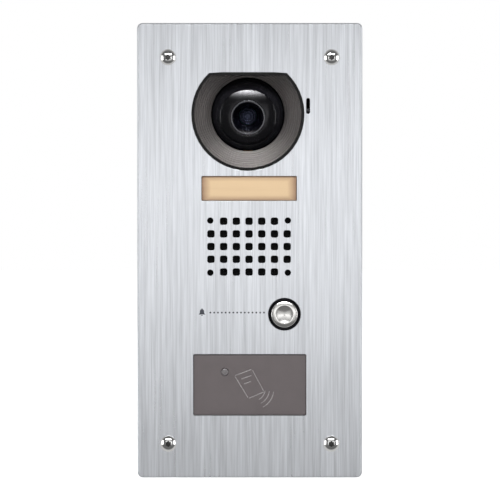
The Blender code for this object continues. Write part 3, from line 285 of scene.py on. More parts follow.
def see_through(name, tint):
    """A thin clear sheet with a coating: clear when seen square on, a mirror at a grazing angle."""
    recipe = Recipe(name, (0.9, 0.92, 0.95), 0.03)
    smears = recipe.noise(80.0, detail=5.0)
    clear = recipe.add("ShaderNodeBsdfTransparent", {"Color": (*tint, 1.0)}).outputs[0]
    inputs = {"Color": (1, 1, 1, 1), "Roughness": recipe.between(smears, 0.02, 0.06)}
    gloss = recipe.add("ShaderNodeBsdfGlossy", inputs).outputs[0]
    slant = recipe.add("ShaderNodeLayerWeight", {"Blend": 0.5}).outputs["Facing"]
    mirror = recipe.calc("POWER", slant, 5.0)
    mix = recipe.add("ShaderNodeMixShader", {0: mirror, 1: clear, 2: gloss})
    recipe.feed(recipe.tree.nodes["Material Output"], "Surface", mix.outputs[0])
    recipe.tree.nodes.remove(recipe.shader)
    return recipe.material


def coated_lens():
    """Dark coated glass."""
    recipe = Recipe("coated_lens", (0.006, 0.007, 0.012), 0.04, 0.7, {"Specular IOR Level": 0.8})
    facing = recipe.add("ShaderNodeLayerWeight", {"Blend": 0.35}).outputs["Facing"]
    coating = recipe.blend(facing, (0.080, 0.083, 0.098), (0.03, 0.03, 0.045))
    recipe.feed(recipe.shader, "Base Color", coating)
    recipe.roughen(recipe.noise(200.0), 0.03, 0.06)
    return recipe.material


LAMP_HIDDEN_EDGE = 1.9  # how much of the lamp window the plate covers along each edge


def lamp_plastic():
    """Cream diffuser with painted shade: browner towards its edges, where the recess in the plate
    shades it.
    """
    recipe = Recipe("lamp_plastic", (0.88, 0.66, 0.40), 0.35)
    low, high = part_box("lamp_window")
    middle, half = (low + high) / 2, (high - low) / 2
    axes = recipe.add("ShaderNodeSeparateXYZ", {"Vector": recipe.place})
    shares = []
    for axis, index in (("X", 0), ("Z", 2)):
        offset = recipe.calc("SUBTRACT", axes.outputs[axis], middle[index])
        room = half[index] - LAMP_HIDDEN_EDGE * MM
        shares.append(recipe.calc("DIVIDE", recipe.calc("ABSOLUTE", offset), room))
    # Painted shade: this mask grows towards the window's edges, where the recess shades the diffuser.
    wide = recipe.between(shares[0], 0.0, 1.0, 0.80, 1.0)
    tall = recipe.between(shares[1], 0.0, 0.75, 0.55, 1.0)
    edge = recipe.calc("MAXIMUM", wide, tall)
    bands = recipe.noise(260.0, (0.08, 1, 1), 3.0)
    edge = recipe.calc("ADD", edge, recipe.between(bands, -0.06, 0.10))
    # brown is the colour of the painted shade at the edges; cream is the diffuser's own colour.
    cream, brown = (0.448, 0.322, 0.188), (0.20, 0.112, 0.064)
    recipe.feed(recipe.shader, "Base Color", recipe.blend(edge, cream, brown))
    recipe.emboss(recipe.noise(2500.0), 0.02, 0.2)
    return recipe.material


def woven_cloth():
    recipe = Recipe("woven_cloth", (0.003, 0.003, 0.003), 0.9, 0.0, {"Specular IOR Level": 0.1})
    weave = recipe.noise(4000.0, detail=1.0)
    recipe.shade(weave, 0.5, 1.8)
    recipe.emboss(weave, 0.05, 0.5)
    return recipe.material


def soft_black(name, colour, scale, height_mm):
    """Rubber or foam: matt, with pores."""
    recipe = Recipe(name, colour, 0.8, 0.0, {"Specular IOR Level": 0.2})
    pores = recipe.noise(scale, detail=4.0)
    recipe.shade(pores, 0.6, 1.5)
    recipe.roughen(pores, 0.65, 0.95)
    recipe.emboss(pores, height_mm, 0.6)
    return recipe.material


def circuit_board():
    """Green lacquer over copper tracks, which run in straight steps."""
    recipe = Recipe("circuit_board", (0.015, 0.14, 0.06), 0.35)
    inputs = {"Vector": recipe.stretched((1, 0, 1)), "Scale": 260.0, "Mortar Size": 0.035}
    lines = recipe.add("ShaderNodeTexBrick", inputs).outputs["Fac"]
    tracks = recipe.blend(lines, (0.010, 0.12, 0.05), (0.05, 0.26, 0.10))
    recipe.feed(recipe.shader, "Base Color", tracks)
    recipe.emboss(lines, 0.03, 0.4)
    return recipe.material


def wound_copper():
    recipe = Recipe("wound_copper", (0.72, 0.34, 0.16), 0.28, 1.0)
    turns = recipe.noise(2200.0, (1, 0.2, 1), 2.0)
    recipe.shade(turns, 0.55, 1.15)
    recipe.emboss(turns, 0.05, 0.6)
    return recipe.material


def ribbon():
    """Clear amber film over straight copper tracks."""
    recipe = Recipe("ribbon", (0.72, 0.36, 0.14), 0.30, 0.3)
    inputs = {"Vector": recipe.place, "Scale": 320.0}
    tracks = recipe.add("ShaderNodeTexWave", inputs, bands_direction="X").outputs["Fac"]
    recipe.shade(tracks, 0.55, 1.2)
    recipe.roughen(recipe.noise(100.0), 0.22, 0.4)
    return recipe.material


def printed_ink():
    recipe = Recipe("printed_ink", (0.022, 0.024, 0.032), 0.6)
    speckle = recipe.noise(5000.0, detail=2.0)
    recipe.shade(speckle, 0.8, 1.4)
    recipe.roughen(speckle, 0.45, 0.65)
    return recipe.material


POLISHED = ("polished_steel", (0.88, 0.87, 0.85), 0.16, 1500.0, 5.0, (0.94, 1.03), (0.13, 0.21))
COLD_HEADED = ("bright_steel", (0.86, 0.86, 0.85), 0.09, 2000.0, 4.0, (0.92, 1.03), (0.07, 0.13))
BLACK_PLATED = ("ring_metal", (0.13, 0.13, 0.135), 0.12, 1500.0, 3.0, (0.8, 1.2), (0.10, 0.16))
# Dark lining for the screw sockets: painted shade of the deep sockets, with some dark oxide.
SOCKET_SHADE_AND_OXIDE = ("socket_shade_and_oxide", (0.075, 0.074, 0.073), 0.45, 2500.0, 4.0, (0.7, 1.3), (0.38, 0.6))
ALL_MATERIALS = [
    brushed_steel(),
    smooth_metal(*POLISHED, bump=0.06),
    smooth_metal(*COLD_HEADED),
    smooth_metal(*BLACK_PLATED),
    smooth_metal(*SOCKET_SHADE_AND_OXIDE),
    zinc_steel(),
    moulded_plastic("black_plastic", (0.020, 0.020, 0.022), 0.45),
    moulded_plastic("white_plastic", (0.78, 0.78, 0.75), 0.40, 0.01),
    moulded_plastic("reader_plastic", (0.0745, 0.0617, 0.0628), 0.42, 0.02),
    gloss_black("gloss_black", 0.002, 0.42),
    gloss_black("ball_black", 0.011, 0.36),
    bezel_plastic(),
    deep_black("ring_black", 0.35, 0.06),
    deep_black("barrel_black", 0.14, 0.09),
    # Lighter than the reader window: painted highlight on the sign's raised strokes.
    moulded_plastic("symbol_highlight_plastic", (0.20, 0.185, 0.185), 0.25, 0.005),
    moulded_plastic("led_plastic", (0.10, 0.092, 0.094), 0.18, 0.004),
    see_through("clear_window", (0.96, 0.96, 0.97)),
    see_through("front_glass", (0.80, 0.82, 0.88)),
    coated_lens(),
    lamp_plastic(),
    woven_cloth(),
    soft_black("rubber", (0.005, 0.005, 0.005), 900.0, 0.02),
    soft_black("foam", (0.030, 0.030, 0.032), 2500.0, 0.15),
    soft_black("cone_paper", (0.040, 0.038, 0.036), 1500.0, 0.08),
    moulded_plastic("ferrite", (0.045, 0.045, 0.048), 0.60, 0.05),
    moulded_plastic("cable_jacket", (0.06, 0.06, 0.065), 0.50, 0.02),
    circuit_board(),
    wound_copper(),
    ribbon(),
    printed_ink(),
]
MATERIALS = {material.name: material for material in ALL_MATERIALS}


# -------- mesh tools


def show(name, mesh, material, place, body="panel", stands_for=(), crisp=35.0):
    """Makes a piece from a bmesh in millimetres, which moves with a CAD body."""
    bmesh.ops.recalc_face_normals(mesh, faces=mesh.faces)
    data = bpy.data.meshes.new(name)
    mesh.to_mesh(data)
    mesh.free()
    data.transform(place)
    data.set_sharp_from_angle(angle=math.radians(crisp))
    data.materials.append(MATERIALS[material])
    piece = bpy.data.objects.new(name, data)
    bpy.context.scene.collection.objects.link(piece)
    if body:
        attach(piece, body)
    if stands_for:
        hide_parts(*stands_for)
    return piece


def add_face(mesh, corners, smooth=True):
    mesh.faces.new(corners).smooth = smooth


def bridge(mesh, near, far):
    """Faces between two rings of vertices. A ring with one vertex is the tip of a fan."""
    count = max(len(near), len(far))
    for i in range(count):
        j = (i + 1) % count
        if len(near) == 1:
            add_face(mesh, (near[0], far[j], far[i]))
        elif len(far) == 1:
            add_face(mesh, (near[i], near[j], far[0]))
        else:
            add_face(mesh, (near[i], near[j], far[j], far[i]))


def skin(mesh, rows, closed=False):
    """Faces from each row of points to the next one, and from the last to the first if closed."""
    rings = [[mesh.verts.new(point) for point in points] for points in rows]
    following = rings[1:] + rings[:1] if closed else rings[1:]
    for near, far in zip(rings, following):
        bridge(mesh, near, far)
    return rings


def closed_skin(mesh, rows, smooth_ends=True):
    """A skin whose first and last rows are filled."""
    rings = skin(mesh, rows)
    add_face(mesh, rings[0], smooth_ends)
    add_face(mesh, rings[-1], smooth_ends)


def lathe(profile, steps=96, closed=False, shaped=None):
    """Spins (radius, depth) points about the y axis. shaped may move them, given their angle."""
    rows = []
    for radius, depth in profile:
        if radius == 0:
            rows.append([(0.0, depth, 0.0)])
            continue
        points = []
        for i in range(steps):
            angle = math.tau * i / steps
            length, away = shaped(radius, depth, angle) if shaped else (radius, depth)
            points.append((length * math.cos(angle), away, length * math.sin(angle)))
        rows.append(points)
    mesh = bmesh.new()
    skin(mesh, rows, closed)
    return mesh


def arc_profile(centre_depth, radius, start, end, steps):
    """(radius, depth) points on an arc round the axis, with angles in degrees from the front."""
    angles = [math.radians(start + (end - start) * i / steps) for i in range(steps + 1)]
    return [(radius * math.sin(a), centre_depth - radius * math.cos(a)) for a in angles]


def prism(mesh, outline, front, back, edge=0.0):
    """A plate with the given (x, z) outline. edge narrows its front a little, by scaling."""
    middle = sum((Vector(point) for point in outline), Vector((0.0, 0.0))) / len(outline)
    levels = [(0.0, back), (0.0, front + edge)] + ([(edge, front)] if edge else [])
    rows = []
    for inset, depth in levels:
        points = []
        for point in outline:
            out = Vector(point) - middle
            at = middle + out * (1 - inset / max(out.length, inset))
            points.append((at.x, depth, at.y))
        rows.append(points)
    closed_skin(mesh, rows, smooth_ends=False)


def add_bar(mesh, path, radius, sides=10):
    """A round bar along a path of points, with closed ends."""
    path = [Vector(point) for point in path]
    rows = []
    side_way = (path[1] - path[0]).orthogonal().normalized()
    for i, point in enumerate(path):
        forward = (path[min(i + 1, len(path) - 1)] - path[max(i - 1, 0)]).normalized()
        side_way = (side_way - forward * side_way.dot(forward)).normalized()
        up_way = forward.cross(side_way)
        points = []
        for k in range(sides):
            angle = math.tau * k / sides
            points.append(point + radius * (side_way * math.cos(angle) + up_way * math.sin(angle)))
        rows.append(points)
    closed_skin(mesh, rows)


def curve_through(points, per_span=8):
    """A smooth path through the points (a Catmull-Rom curve)."""
    points = [Vector(point) for point in points]
    ends = [points[0] * 2 - points[1], *points, points[-1] * 2 - points[-2]]
    path = []
    for p0, p1, p2, p3 in zip(ends, ends[1:], ends[2:], ends[3:]):
        for i in range(per_span):
            t = i / per_span
            bend = (2 * p0 - 5 * p1 + 4 * p2 - p3) * t**2 + (3 * p1 - p0 - 3 * p2 + p3) * t**3
            path.append((2 * p1 + (p2 - p0) * t + bend) / 2)
    path.append(points[-1])
    return path


def stroke(mesh, points, width, front, back):
    """A raised line of even width along (x, z) points, with a rounded top and pointed ends."""
    points = [Vector(point) for point in points]
    ways = []
    for i in range(len(points)):
        along = (points[min(i + 1, len(points) - 1)] - points[max(i - 1, 0)]).normalized()
        ways.append(Vector((-along.y, along.x)))
    rows = []
    for share, depth in ((1.0, back), (1.0, front + 0.15), (0.8, front + 0.05), (0.4, front)):
        reach = share * width / 2
        left = [point + way * reach for point, way in zip(points, ways)]
        right = [point - way * reach for point, way in zip(points, ways)]
        end = points[-1] + (points[-1] - points[-2]).normalized() * reach
        start = points[0] + (points[0] - points[1]).normalized() * reach
        outline = left + [end] + right[::-1] + [start]
        rows.append([(point.x, depth, point.y) for point in outline])
    rings = skin(mesh, rows)
    add_face(mesh, rings[0], smooth=False)
    add_face(mesh, rings[-1])


def arc_points(centre, radius, start, end, steps=12):
    """(x, z) points on an arc, with angles in degrees from the x axis."""
    angles = [math.radians(start + (end - start) * i / steps) for i in range(steps + 1)]
    return [(centre[0] + radius * math.cos(a), centre[1] + radius * math.sin(a)) for a in angles]


# -------- CAD pieces

# The CAD nodes that are shown as they are: a material, the width in millimetres of their softened
# edges, and the nodes.
DRESSES = (
    ("brushed_steel", 0.12, "face_plate"),
    ("clear_window", 0.0, "camera_window"),
    ("lamp_plastic", 0.2, "lamp_window"),
    ("reader_plastic", 0.25, "reader_window"),
    ("foam", 0.2, "face_gasket"),
    ("foam", 0.15, "speaker_gasket"),
    ("rubber", 0.1, "microphone_boot"),
    ("rubber", 0.15, "camera_window_seal"),
    ("rubber", 0.3, "cable_grommet"),
    ("black_plastic", 0.15, "tilt_lever", "call_switch", "terminal_block"),
    ("black_plastic", 0.2, "camera_frame"),
    ("black_plastic", 0.3, "inner_case", "rear_cover", "reader_housing"),
    ("white_plastic", 0.0, "lamp_led_left", "lamp_led_right"),
    ("white_plastic", 0.1, "switch_plunger"),
    ("white_plastic", 0.2, "lamp_reflector"),
    ("circuit_board", 0.1, "camera_board", "lamp_board", "main_board", "reader_board"),
    ("gloss_black", 0.05, "image_sensor"),
    ("ferrite", 0.3, "speaker_magnet"),
    ("cone_paper", 0.0, "speaker_cone"),
    ("wound_copper", 0.2, "reader_coil"),
    ("polished_steel", 0.1, "lever_screw", "button_clip"),
    ("zinc_steel", 0.1, "microphone", "cover_screw_left", "cover_screw_right"),
    ("zinc_steel", 0.15, "speaker_frame", "bracket_nut_left", "bracket_nut_right"),
    ("zinc_steel", 0.15, *("case_nut_" + corner for corner in CORNERS)),
    ("zinc_steel", 0.2, "reader_bracket"),
    ("zinc_steel", 0.25, "back_box"),
    ("zinc_steel", 0.3, "speaker_yoke", "blanking_plug"),
)
FINELY_SOFTENED = ("face_plate", "reader_window")


def soften(piece, width_mm, segments):
    """Rounds a CAD node's sharp edges so that they catch the light."""
    weld = piece.modifiers.new("weld", "WELD")
    weld.merge_threshold = 2e-6
    bevel = piece.modifiers.new("soft_edges", "BEVEL")
    bevel.width = width_mm * MM
    bevel.segments = segments
    bevel.limit_method = "ANGLE"
    bevel.angle_limit = math.radians(40)
    bevel.use_clamp_overlap = True


def dress_cad_nodes():
    """Gives the CAD nodes that are shown as they are their materials and soft edges."""
    for material, edge_mm, *nodes in DRESSES:
        for node in nodes:
            piece = frame["nodes"][node]
            piece.data.materials.clear()
            piece.data.materials.append(MATERIALS[material])
            if edge_mm:
                soften(piece, edge_mm, 3 if node in FINELY_SOFTENED else 2)


# -------- camera opening

DISH_FRONT_RADIUS = 32.2
DISH_REAR_RADIUS = 22.2
DISH_FLAT = 23.4
DISH_WALL = 1.5
DISH_THROAT = 11.6
DISH_LIP_WIDTH = 0.35
DISH_LIP_DEPTH = 0.25
DISH_SHOULDER = 0.7
DISH_FLANGE = 1.4
DISH_GROOVES = 8
GROOVE_DEPTH = 0.5
GROOVE_SHAPE = ((0.10, 0.0), (0.5, GROOVE_DEPTH), (0.90, 0.0))  # share of the groove's width, depth


def opening_points(radius, flat, depth, arc_steps=140, flat_steps=28):
    """A ring of points round a circle whose top is cut off at height flat."""
    corner = math.asin(min(flat / radius, DISH_FLAT / DISH_FRONT_RADIUS))
    points = []
    for i in range(arc_steps + 1):
        angle = math.pi - corner + (math.pi + 2 * corner) * i / arc_steps
        points.append((radius * math.cos(angle), depth, radius * math.sin(angle)))
    half_chord = radius * math.cos(corner)
    for i in range(1, flat_steps):
        x = half_chord * (1 - 2 * i / flat_steps)
        points.append((x, depth, min(flat, math.sqrt(radius**2 - x**2))))
    return points


def make_dish():
    """The dish between the window and the ball, turned with fine grooves, and its sleeve."""
    front, rear = depths_of("camera_bezel")
    mouth = front + DISH_LIP_DEPTH
    profile = [(DISH_FRONT_RADIUS + DISH_LIP_WIDTH, front), (DISH_FRONT_RADIUS, mouth)]
    slope = Vector((DISH_REAR_RADIUS - DISH_FRONT_RADIUS, DISH_THROAT - mouth))
    into_wall = Vector((slope.y, -slope.x)).normalized()
    for i in range(DISH_GROOVES):
        for share, sink in GROOVE_SHAPE:
            at = Vector(profile[1]) + slope * (i + share) / DISH_GROOVES + into_wall * sink
            profile.append(tuple(at))
    profile += [(DISH_REAR_RADIUS, DISH_THROAT), (DISH_REAR_RADIUS, rear)]
    rows = []
    for radius, depth in profile:
        flat = DISH_FLAT + max(0.0, radius - DISH_FRONT_RADIUS)
        rows.append(opening_points(radius, flat, depth))
    flange, flange_flat = OPENING_RADIUS / MM, (OPENING_HIGH.z - OPENING_Z) / MM
    outside = (
        (DISH_REAR_RADIUS + DISH_WALL, DISH_FLAT + DISH_WALL, rear),
        (DISH_FRONT_RADIUS + DISH_SHOULDER, DISH_FLAT + DISH_WALL, front + DISH_FLANGE),
        (flange, flange_flat, front + DISH_FLANGE),
        (flange, flange_flat, front),
    )
    rows += [opening_points(radius, flat, depth) for radius, flat, depth in outside]
    mesh = bmesh.new()
    skin(mesh, rows, closed=True)
    show("camera_dish", mesh, "bezel_plastic", IN_OPENING, stands_for=["camera_bezel"], crisp=50)


BALL_RADIUS = 22.8
BALL_WALL = 1.8
BALL_REAR = 5.0
COLLAR_RADIUS = 17.2
COLLAR_FRONT = -20.2
COLLAR_CURVE = 40.0
LENS_OPENING = 10.6
LIP = LENS_OPENING - 0.4
TRUNNION_RADIUS = 2.4
TRUNNION_BEVEL = 0.3


def make_ball():
    """The ball, its trunnions and the domed glossy collar round its lens opening."""
    collar_foot = math.degrees(math.asin(COLLAR_RADIUS / BALL_RADIUS))
    rear = math.degrees(math.acos(-BALL_REAR / BALL_RADIUS))
    inner = BALL_RADIUS - BALL_WALL
    profile = arc_profile(0.0, BALL_RADIUS, collar_foot - 2, rear, 40)
    profile += arc_profile(0.0, inner, rear - 2, math.degrees(math.asin(LENS_OPENING / inner)), 24)
    shell = lathe(profile, 144, closed=True)
    show("camera_ball_shell", shell, "ball_black", IN_HEAD, "camera_head", ["camera_ball"], 50)
    first = math.degrees(math.asin((LENS_OPENING + 0.5) / COLLAR_CURVE))
    last = math.degrees(math.asin((COLLAR_RADIUS - 0.2) / COLLAR_CURVE))
    centre = COLLAR_FRONT + COLLAR_CURVE * math.cos(math.radians(first))
    dome = arc_profile(centre, COLLAR_CURVE, first, last, 12)
    foot = BALL_RADIUS * math.cos(math.radians(collar_foot))
    brim = dome[-1][1]
    profile = [(LIP, COLLAR_FRONT + 0.9), (LENS_OPENING, COLLAR_FRONT + 0.25), *dome]
    profile += [(COLLAR_RADIUS - 0.03, brim + 0.12), (COLLAR_RADIUS, brim + 0.4)]
    profile += [(COLLAR_RADIUS, -foot), (LIP, -foot)]
    collar = lathe(profile, 144, closed=True)
    show("camera_collar", collar, "gloss_black", IN_HEAD, "camera_head", crisp=50)
    low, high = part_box("camera_ball")
    ends = ((low.x - TILT_AXIS.x) / MM, (high.x - TILT_AXIS.x) / MM)
    for (side, way), end in zip(SIDES, ends):
        start = way * (inner + 0.4)
        profile = [(0, start), (TRUNNION_RADIUS, start), (TRUNNION_RADIUS, end - TRUNNION_BEVEL * way)]
        profile += [(TRUNNION_RADIUS - TRUNNION_BEVEL, end), (0, end)]
        pin = lathe(profile, 32)
        pin.transform(Matrix.Rotation(-math.pi / 2, 4, "Z"))
        show("camera_trunnion_" + side, pin, "ball_black", IN_HEAD, "camera_head")


# The lens, as radii and depths in front of the tilt axis.
BARREL_MOUTH = (LIP, -19.3)
BARREL_SEAT = (5.4, -12.2)
BARREL_BACK = ((20.5, 0.0), (20.5, -2.0), (LIP, -2.0))
BAFFLES = 7
BAFFLE_FRONT = (9.0, -18.8)
BAFFLE_REAR = (5.7, -12.6)
BAFFLE_UNDERCUT = 0.35
LENS_RING = (9.9, -19.1)
LENS_RING_ROUND = 1.2
LENS_RING_FOOT = ((10.39, -19.7), (10.1, -19.35), (9.41, -19.35))
GLASS_FRONT = -19.9
GLASS_CURVE = 15.5
GLASS_RADIUS = 8.6
GLASS_BACK = ((GLASS_RADIUS, -17.25), (0, -17.5))
REAR_GLASS_TIP = ((0, -11.6), (0.8, -11.55))
REAR_GLASS_BACK = ((5.1, -10.3), (5.1, -8.4), (0, -8.4))
LENS_BEADS = ((1.3, -11.35), (2.9, -11.0), (4.4, -10.5))
LENS_BEAD_ROUND = 0.35


def bead(radius, depth, size, reach=60, step=12):
    """(radius, depth) points over a ridge that is rounded in section, from the axis outwards."""
    angles = [math.radians(degrees) for degrees in range(-reach, reach + 1, step)]
    return [(radius + size * math.sin(a), depth - size * math.cos(a)) for a in angles]


def make_lens():
    """The baffled barrel, the bright ring at its mouth, the domed front element and the rear one."""
    profile = [BARREL_MOUTH]
    front, rear = Vector(BAFFLE_FRONT), Vector(BAFFLE_REAR)
    for i in range(BAFFLES):
        ridge, groove = front.lerp(rear, i / BAFFLES), front.lerp(rear, (i + 0.8) / BAFFLES)
        profile += [tuple(ridge), (groove.x + BAFFLE_UNDERCUT, groove.y)]
    profile += [BAFFLE_REAR, BARREL_SEAT, (BARREL_SEAT[0], 0.0), *BARREL_BACK]
    mesh = lathe(profile, closed=True)
    show("lens_barrel", mesh, "barrel_black", IN_HEAD, "camera_head", ["lens_holder"], 30)
    profile = bead(*LENS_RING, LENS_RING_ROUND, 24, 6)
    profile += LENS_RING_FOOT
    show("lens_ring", lathe(profile, closed=True), "ring_metal", IN_HEAD, "camera_head", crisp=50)
    brim = math.degrees(math.asin(GLASS_RADIUS / GLASS_CURVE))
    dome = arc_profile(GLASS_CURVE + GLASS_FRONT, GLASS_CURVE, 0.0, brim, 20)
    dome[0] = (0, GLASS_FRONT)
    mesh = lathe([*dome, *GLASS_BACK])
    show("lens_dome", mesh, "front_glass", IN_HEAD, "camera_head", ["front_lens"])
    profile = [*REAR_GLASS_TIP]
    for radius, depth in LENS_BEADS:
        profile += bead(radius, depth, LENS_BEAD_ROUND)
    profile += REAR_GLASS_BACK
    show("lens_rear", lathe(profile), "coated_lens", IN_HEAD, "camera_head", ["rear_lens"], 50)


# -------- screws and the button

# A face screw, as radii and as depths behind the top of its head.
HEAD_LOW, HEAD_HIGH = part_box("face_screw_upper_left")
HEAD_RADIUS = (HEAD_HIGH.x - HEAD_LOW.x) / 2 / MM
SCREW_LENGTH = (HEAD_HIGH.y - HEAD_LOW.y) / MM
HEAD_RISE = 1.9
HEAD_CURVE = (HEAD_RADIUS**2 + HEAD_RISE**2) / (2 * HEAD_RISE)
SCREW_SEAT = 2.3
SOCKET_RADIUS = 1.9
SOCKET_WAVE = 0.24
SOCKET_DEPTH = 1.5
SOCKET_BRIM = 0.36
SOCKET_GAP = 0.03
SOCKET_PIN = 0.65
SHANK_RADIUS = 1.95
THREAD_PITCH = 0.7


def lobed(radius, angle, strength=1.0):
    """A radius that dips six times round the circle, for a six-lobed socket."""
    return radius * (1 - strength * SOCKET_WAVE * (1 + math.cos(6 * angle)) / 2)


def dome_depth(radius):
    return HEAD_CURVE - math.sqrt(HEAD_CURVE**2 - radius**2)


def shape_head(radius, depth, angle):
    """Gives the head's opening six lobes that die out over the dome."""
    if depth >= SOCKET_DEPTH and radius <= SOCKET_RADIUS:
        return lobed(radius, angle), depth
    if depth >= SCREW_SEAT or radius > 2 * SOCKET_RADIUS:
        return radius, depth
    length = lobed(radius, angle, 2 - radius / SOCKET_RADIUS)
    return length, dome_depth(length)


def shape_socket(radius, depth, angle):
    """Gives the socket's wall six lobes and leaves its pin round."""
    return (lobed(radius, angle) if radius > SOCKET_PIN else radius), depth


def thread(start, end):
    """(radius, depth) points of a screw thread's ridges."""
    points = []
    while start < end - THREAD_PITCH:
        points.append((SHANK_RADIUS - 0.35, start))
        points += [(SHANK_RADIUS, start + 0.3), (SHANK_RADIUS, start + 0.4)]
        start += THREAD_PITCH
    return points


def make_face_screws():
    """Domed tamper-resistant screws with threaded shanks; each socket's dark lining paints its shade
    and some oxide.
    """
    head = [(SOCKET_RADIUS, SOCKET_DEPTH)]
    for i in range(21):
        radius = SOCKET_RADIUS + i * (HEAD_RADIUS - SOCKET_RADIUS) / 20
        head.append((radius, dome_depth(radius)))
    head += [(HEAD_RADIUS - 0.15, SCREW_SEAT), (SHANK_RADIUS, SCREW_SEAT)]
    head += thread(SCREW_SEAT + 0.2, SCREW_LENGTH)
    head += [(SHANK_RADIUS - 0.5, SCREW_LENGTH), (0, SCREW_LENGTH)]
    wall, pin = SOCKET_RADIUS - SOCKET_GAP, SOCKET_PIN
    socket = [(0, 0.5), (pin - 0.15, 0.5), (pin, 0.65), (pin, SOCKET_DEPTH)]
    socket += [(wall - 0.1, SOCKET_DEPTH), (wall, SOCKET_DEPTH - 0.1), (wall, SOCKET_BRIM)]
    for corner in CORNERS:
        node = "face_screw_" + corner
        place = on_axis_of(node) @ Matrix.Translation((0, depths_of(node)[0], 0))
        mesh = lathe(head, 72, shaped=shape_head)
        show("tamper_screw_" + corner, mesh, "bright_steel", place, stands_for=[node])
        # A dark lining just inside the socket's wall: painted shade of the deep socket, with some dark
        # oxide.
        mesh = lathe(socket, 72, shaped=shape_socket)
        show("socket_shade_lining_" + corner, mesh, "socket_shade_and_oxide", place)


CAP_RIM = 5.4
CAP_RADIUS = 7.9
CAP_SKIRT = ((CAP_RADIUS, 0.5), (6.6, 0.5), (6.6, -3.4), (2.4, -3.4))
CAP_STEM = ((2.4, 9.3), (1.7, 9.3), (1.7, 10.3), (2.4, 10.3))
RING_RADIUS = 9.6
RING_CROWN = 0.2
RING_FLANGE = ((RING_RADIUS, -1.3), (12.0, -1.3), (12.0, 0.4), (9.4, 0.4))
RING_FLOOR = 7.6
STEM_HOLE = 2.7
SPRING_TURNS = 6
SPRING_WIRE = 0.4


def sloping(start, end, first_tilt, last_tilt, bend=1.0, steps=16):
    """(radius, depth) points of a slope whose tilt goes from one angle to another, in degrees."""
    radius, depth = start
    points = [start]
    for i in range(steps):
        share = ((i + 0.5) / steps) ** bend
        step = (end - start[0]) / steps
        radius += step
        depth += abs(step) * math.tan(math.radians(first_tilt + (last_tilt - first_tilt) * share))
        points.append((radius, depth))
    return points


def make_button_cap():
    """The metal cap: a dished middle with a turning mark, a sloping rim and a grooved stem."""
    front, end = depths_of("button_cap")
    dish = sloping((0.0, 0.0), CAP_RIM, 3.0, 20.0, 0.6)
    floor = front + dish[-1][1]
    profile = [(0, floor - 0.1), (0.35, floor - 0.08), (0.6, floor)]
    profile += [(radius, floor - rise) for radius, rise in dish[2:]]
    profile += sloping((CAP_RIM + 0.25, front), CAP_RADIUS - 0.35, 11.0, 21.0)
    edge = profile[-1][1]
    for inset, drop in ((0.12, 0.14), (0.02, 0.3), (0.0, 0.5)):
        profile.append((CAP_RADIUS - inset, edge + drop))
    stem = CAP_STEM[0][0]
    profile += [*CAP_SKIRT, *CAP_STEM, (stem, end - 0.3), (stem - 0.3, end), (0, end)]
    mesh = lathe(profile)
    place = on_axis_of("button_cap")
    show("call_button_cap", mesh, "polished_steel", place, "call_button", ["button_cap"])


def make_button_ring():
    """The black ring that guides the button."""
    front, back = depths_of("button_bezel")
    inner, outer = CAP_RADIUS + 0.3, RING_RADIUS
    profile = [(inner, front + 0.5), (inner + 0.1, front + RING_CROWN)]
    for i in range(9):
        share = i / 8
        radius = inner + 0.25 + (outer - inner - 0.45) * share
        profile.append((radius, front + RING_CROWN * (1 - math.sin(share * math.pi))))
    profile += [(outer - 0.05, front + 0.15), (outer, front + 0.4), *RING_FLANGE]
    profile += [(RING_FLANGE[-1][0], back), (STEM_HOLE, back)]
    profile += [(STEM_HOLE, RING_FLOOR), (inner, RING_FLOOR)]
    mesh = lathe(profile, closed=True)
    show("button_ring", mesh, "ring_black", on_axis_of("button_bezel"), stands_for=["button_bezel"])


def make_button_spring():
    """A wire coil with closed ends."""
    low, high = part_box("button_spring")
    start, end = depths_of("button_spring")
    coil = (high.x - low.x) / 2 / MM - SPRING_WIRE
    turns, per_turn = SPRING_TURNS, 40
    path = []
    for i in range(turns * per_turn + 1):
        share = i / (turns * per_turn)
        angle = math.tau * turns * share
        rise = min(max((share * turns - 0.9) / (turns - 1.8), 0.0), 1.0)
        depth = start + SPRING_WIRE + (end - start - 2 * SPRING_WIRE) * rise
        path.append((coil * math.cos(angle), depth, coil * math.sin(angle)))
    mesh = bmesh.new()
    add_bar(mesh, path, SPRING_WIRE)
    place = on_axis_of("button_spring")
    piece = show("button_coil", mesh, "polished_steel", place, stands_for=["button_spring"])
    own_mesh(piece)


# -------- grille and reader

WEAVE_PITCH = 1.27
THREAD_HALF_WIDTH = 0.42 * WEAVE_PITCH
THREAD_HALF_DEPTH = 0.09


def add_cloth_thread(mesh, offset, crossings, first, upright, depth, swing):
    """A flat thread, offset from the cloth's middle, that passes over and under the others."""
    rows = []
    for k in range(2 * crossings + 1):
        along = (k / 2 - crossings / 2) * WEAVE_PITCH
        level = depth + swing * math.cos(math.pi * (k / 2 + first)) * (1 if upright else -1)
        points = []
        for side, sink in ((-1, 0), (0, -1), (1, 0), (0, 1)):
            across = offset + side * THREAD_HALF_WIDTH
            x, z = (across, along) if upright else (along, across)
            points.append((x, level + sink * THREAD_HALF_DEPTH, z))
        rows.append(points)
    closed_skin(mesh, rows)


def make_grille_cloth():
    """Two layers of threads that pass over and under each other."""
    low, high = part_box("grille_cloth")
    front, back = depths_of("grille_cloth")
    depth, swing = (front + back) / 2, (back - front) / 4
    columns = int((high.x - low.x) / MM / WEAVE_PITCH)
    rows = int((high.z - low.z) / MM / WEAVE_PITCH)
    mesh = bmesh.new()
    for count, crossings, upright in ((columns, rows, True), (rows, columns, False)):
        for i in range(count):
            offset = (i - (count - 1) / 2) * WEAVE_PITCH
            add_cloth_thread(mesh, offset, crossings, i, upright, depth, swing)
    place = on_axis_of("grille_cloth")
    show("speaker_cloth", mesh, "woven_cloth", place, stands_for=["grille_cloth"])


READER_LAMP_RADIUS = 2.25
READER_LAMP_RISE = 0.9
READER_LAMP_FLANGE = ((READER_LAMP_RADIUS, 0.6), (3.4, 0.6))


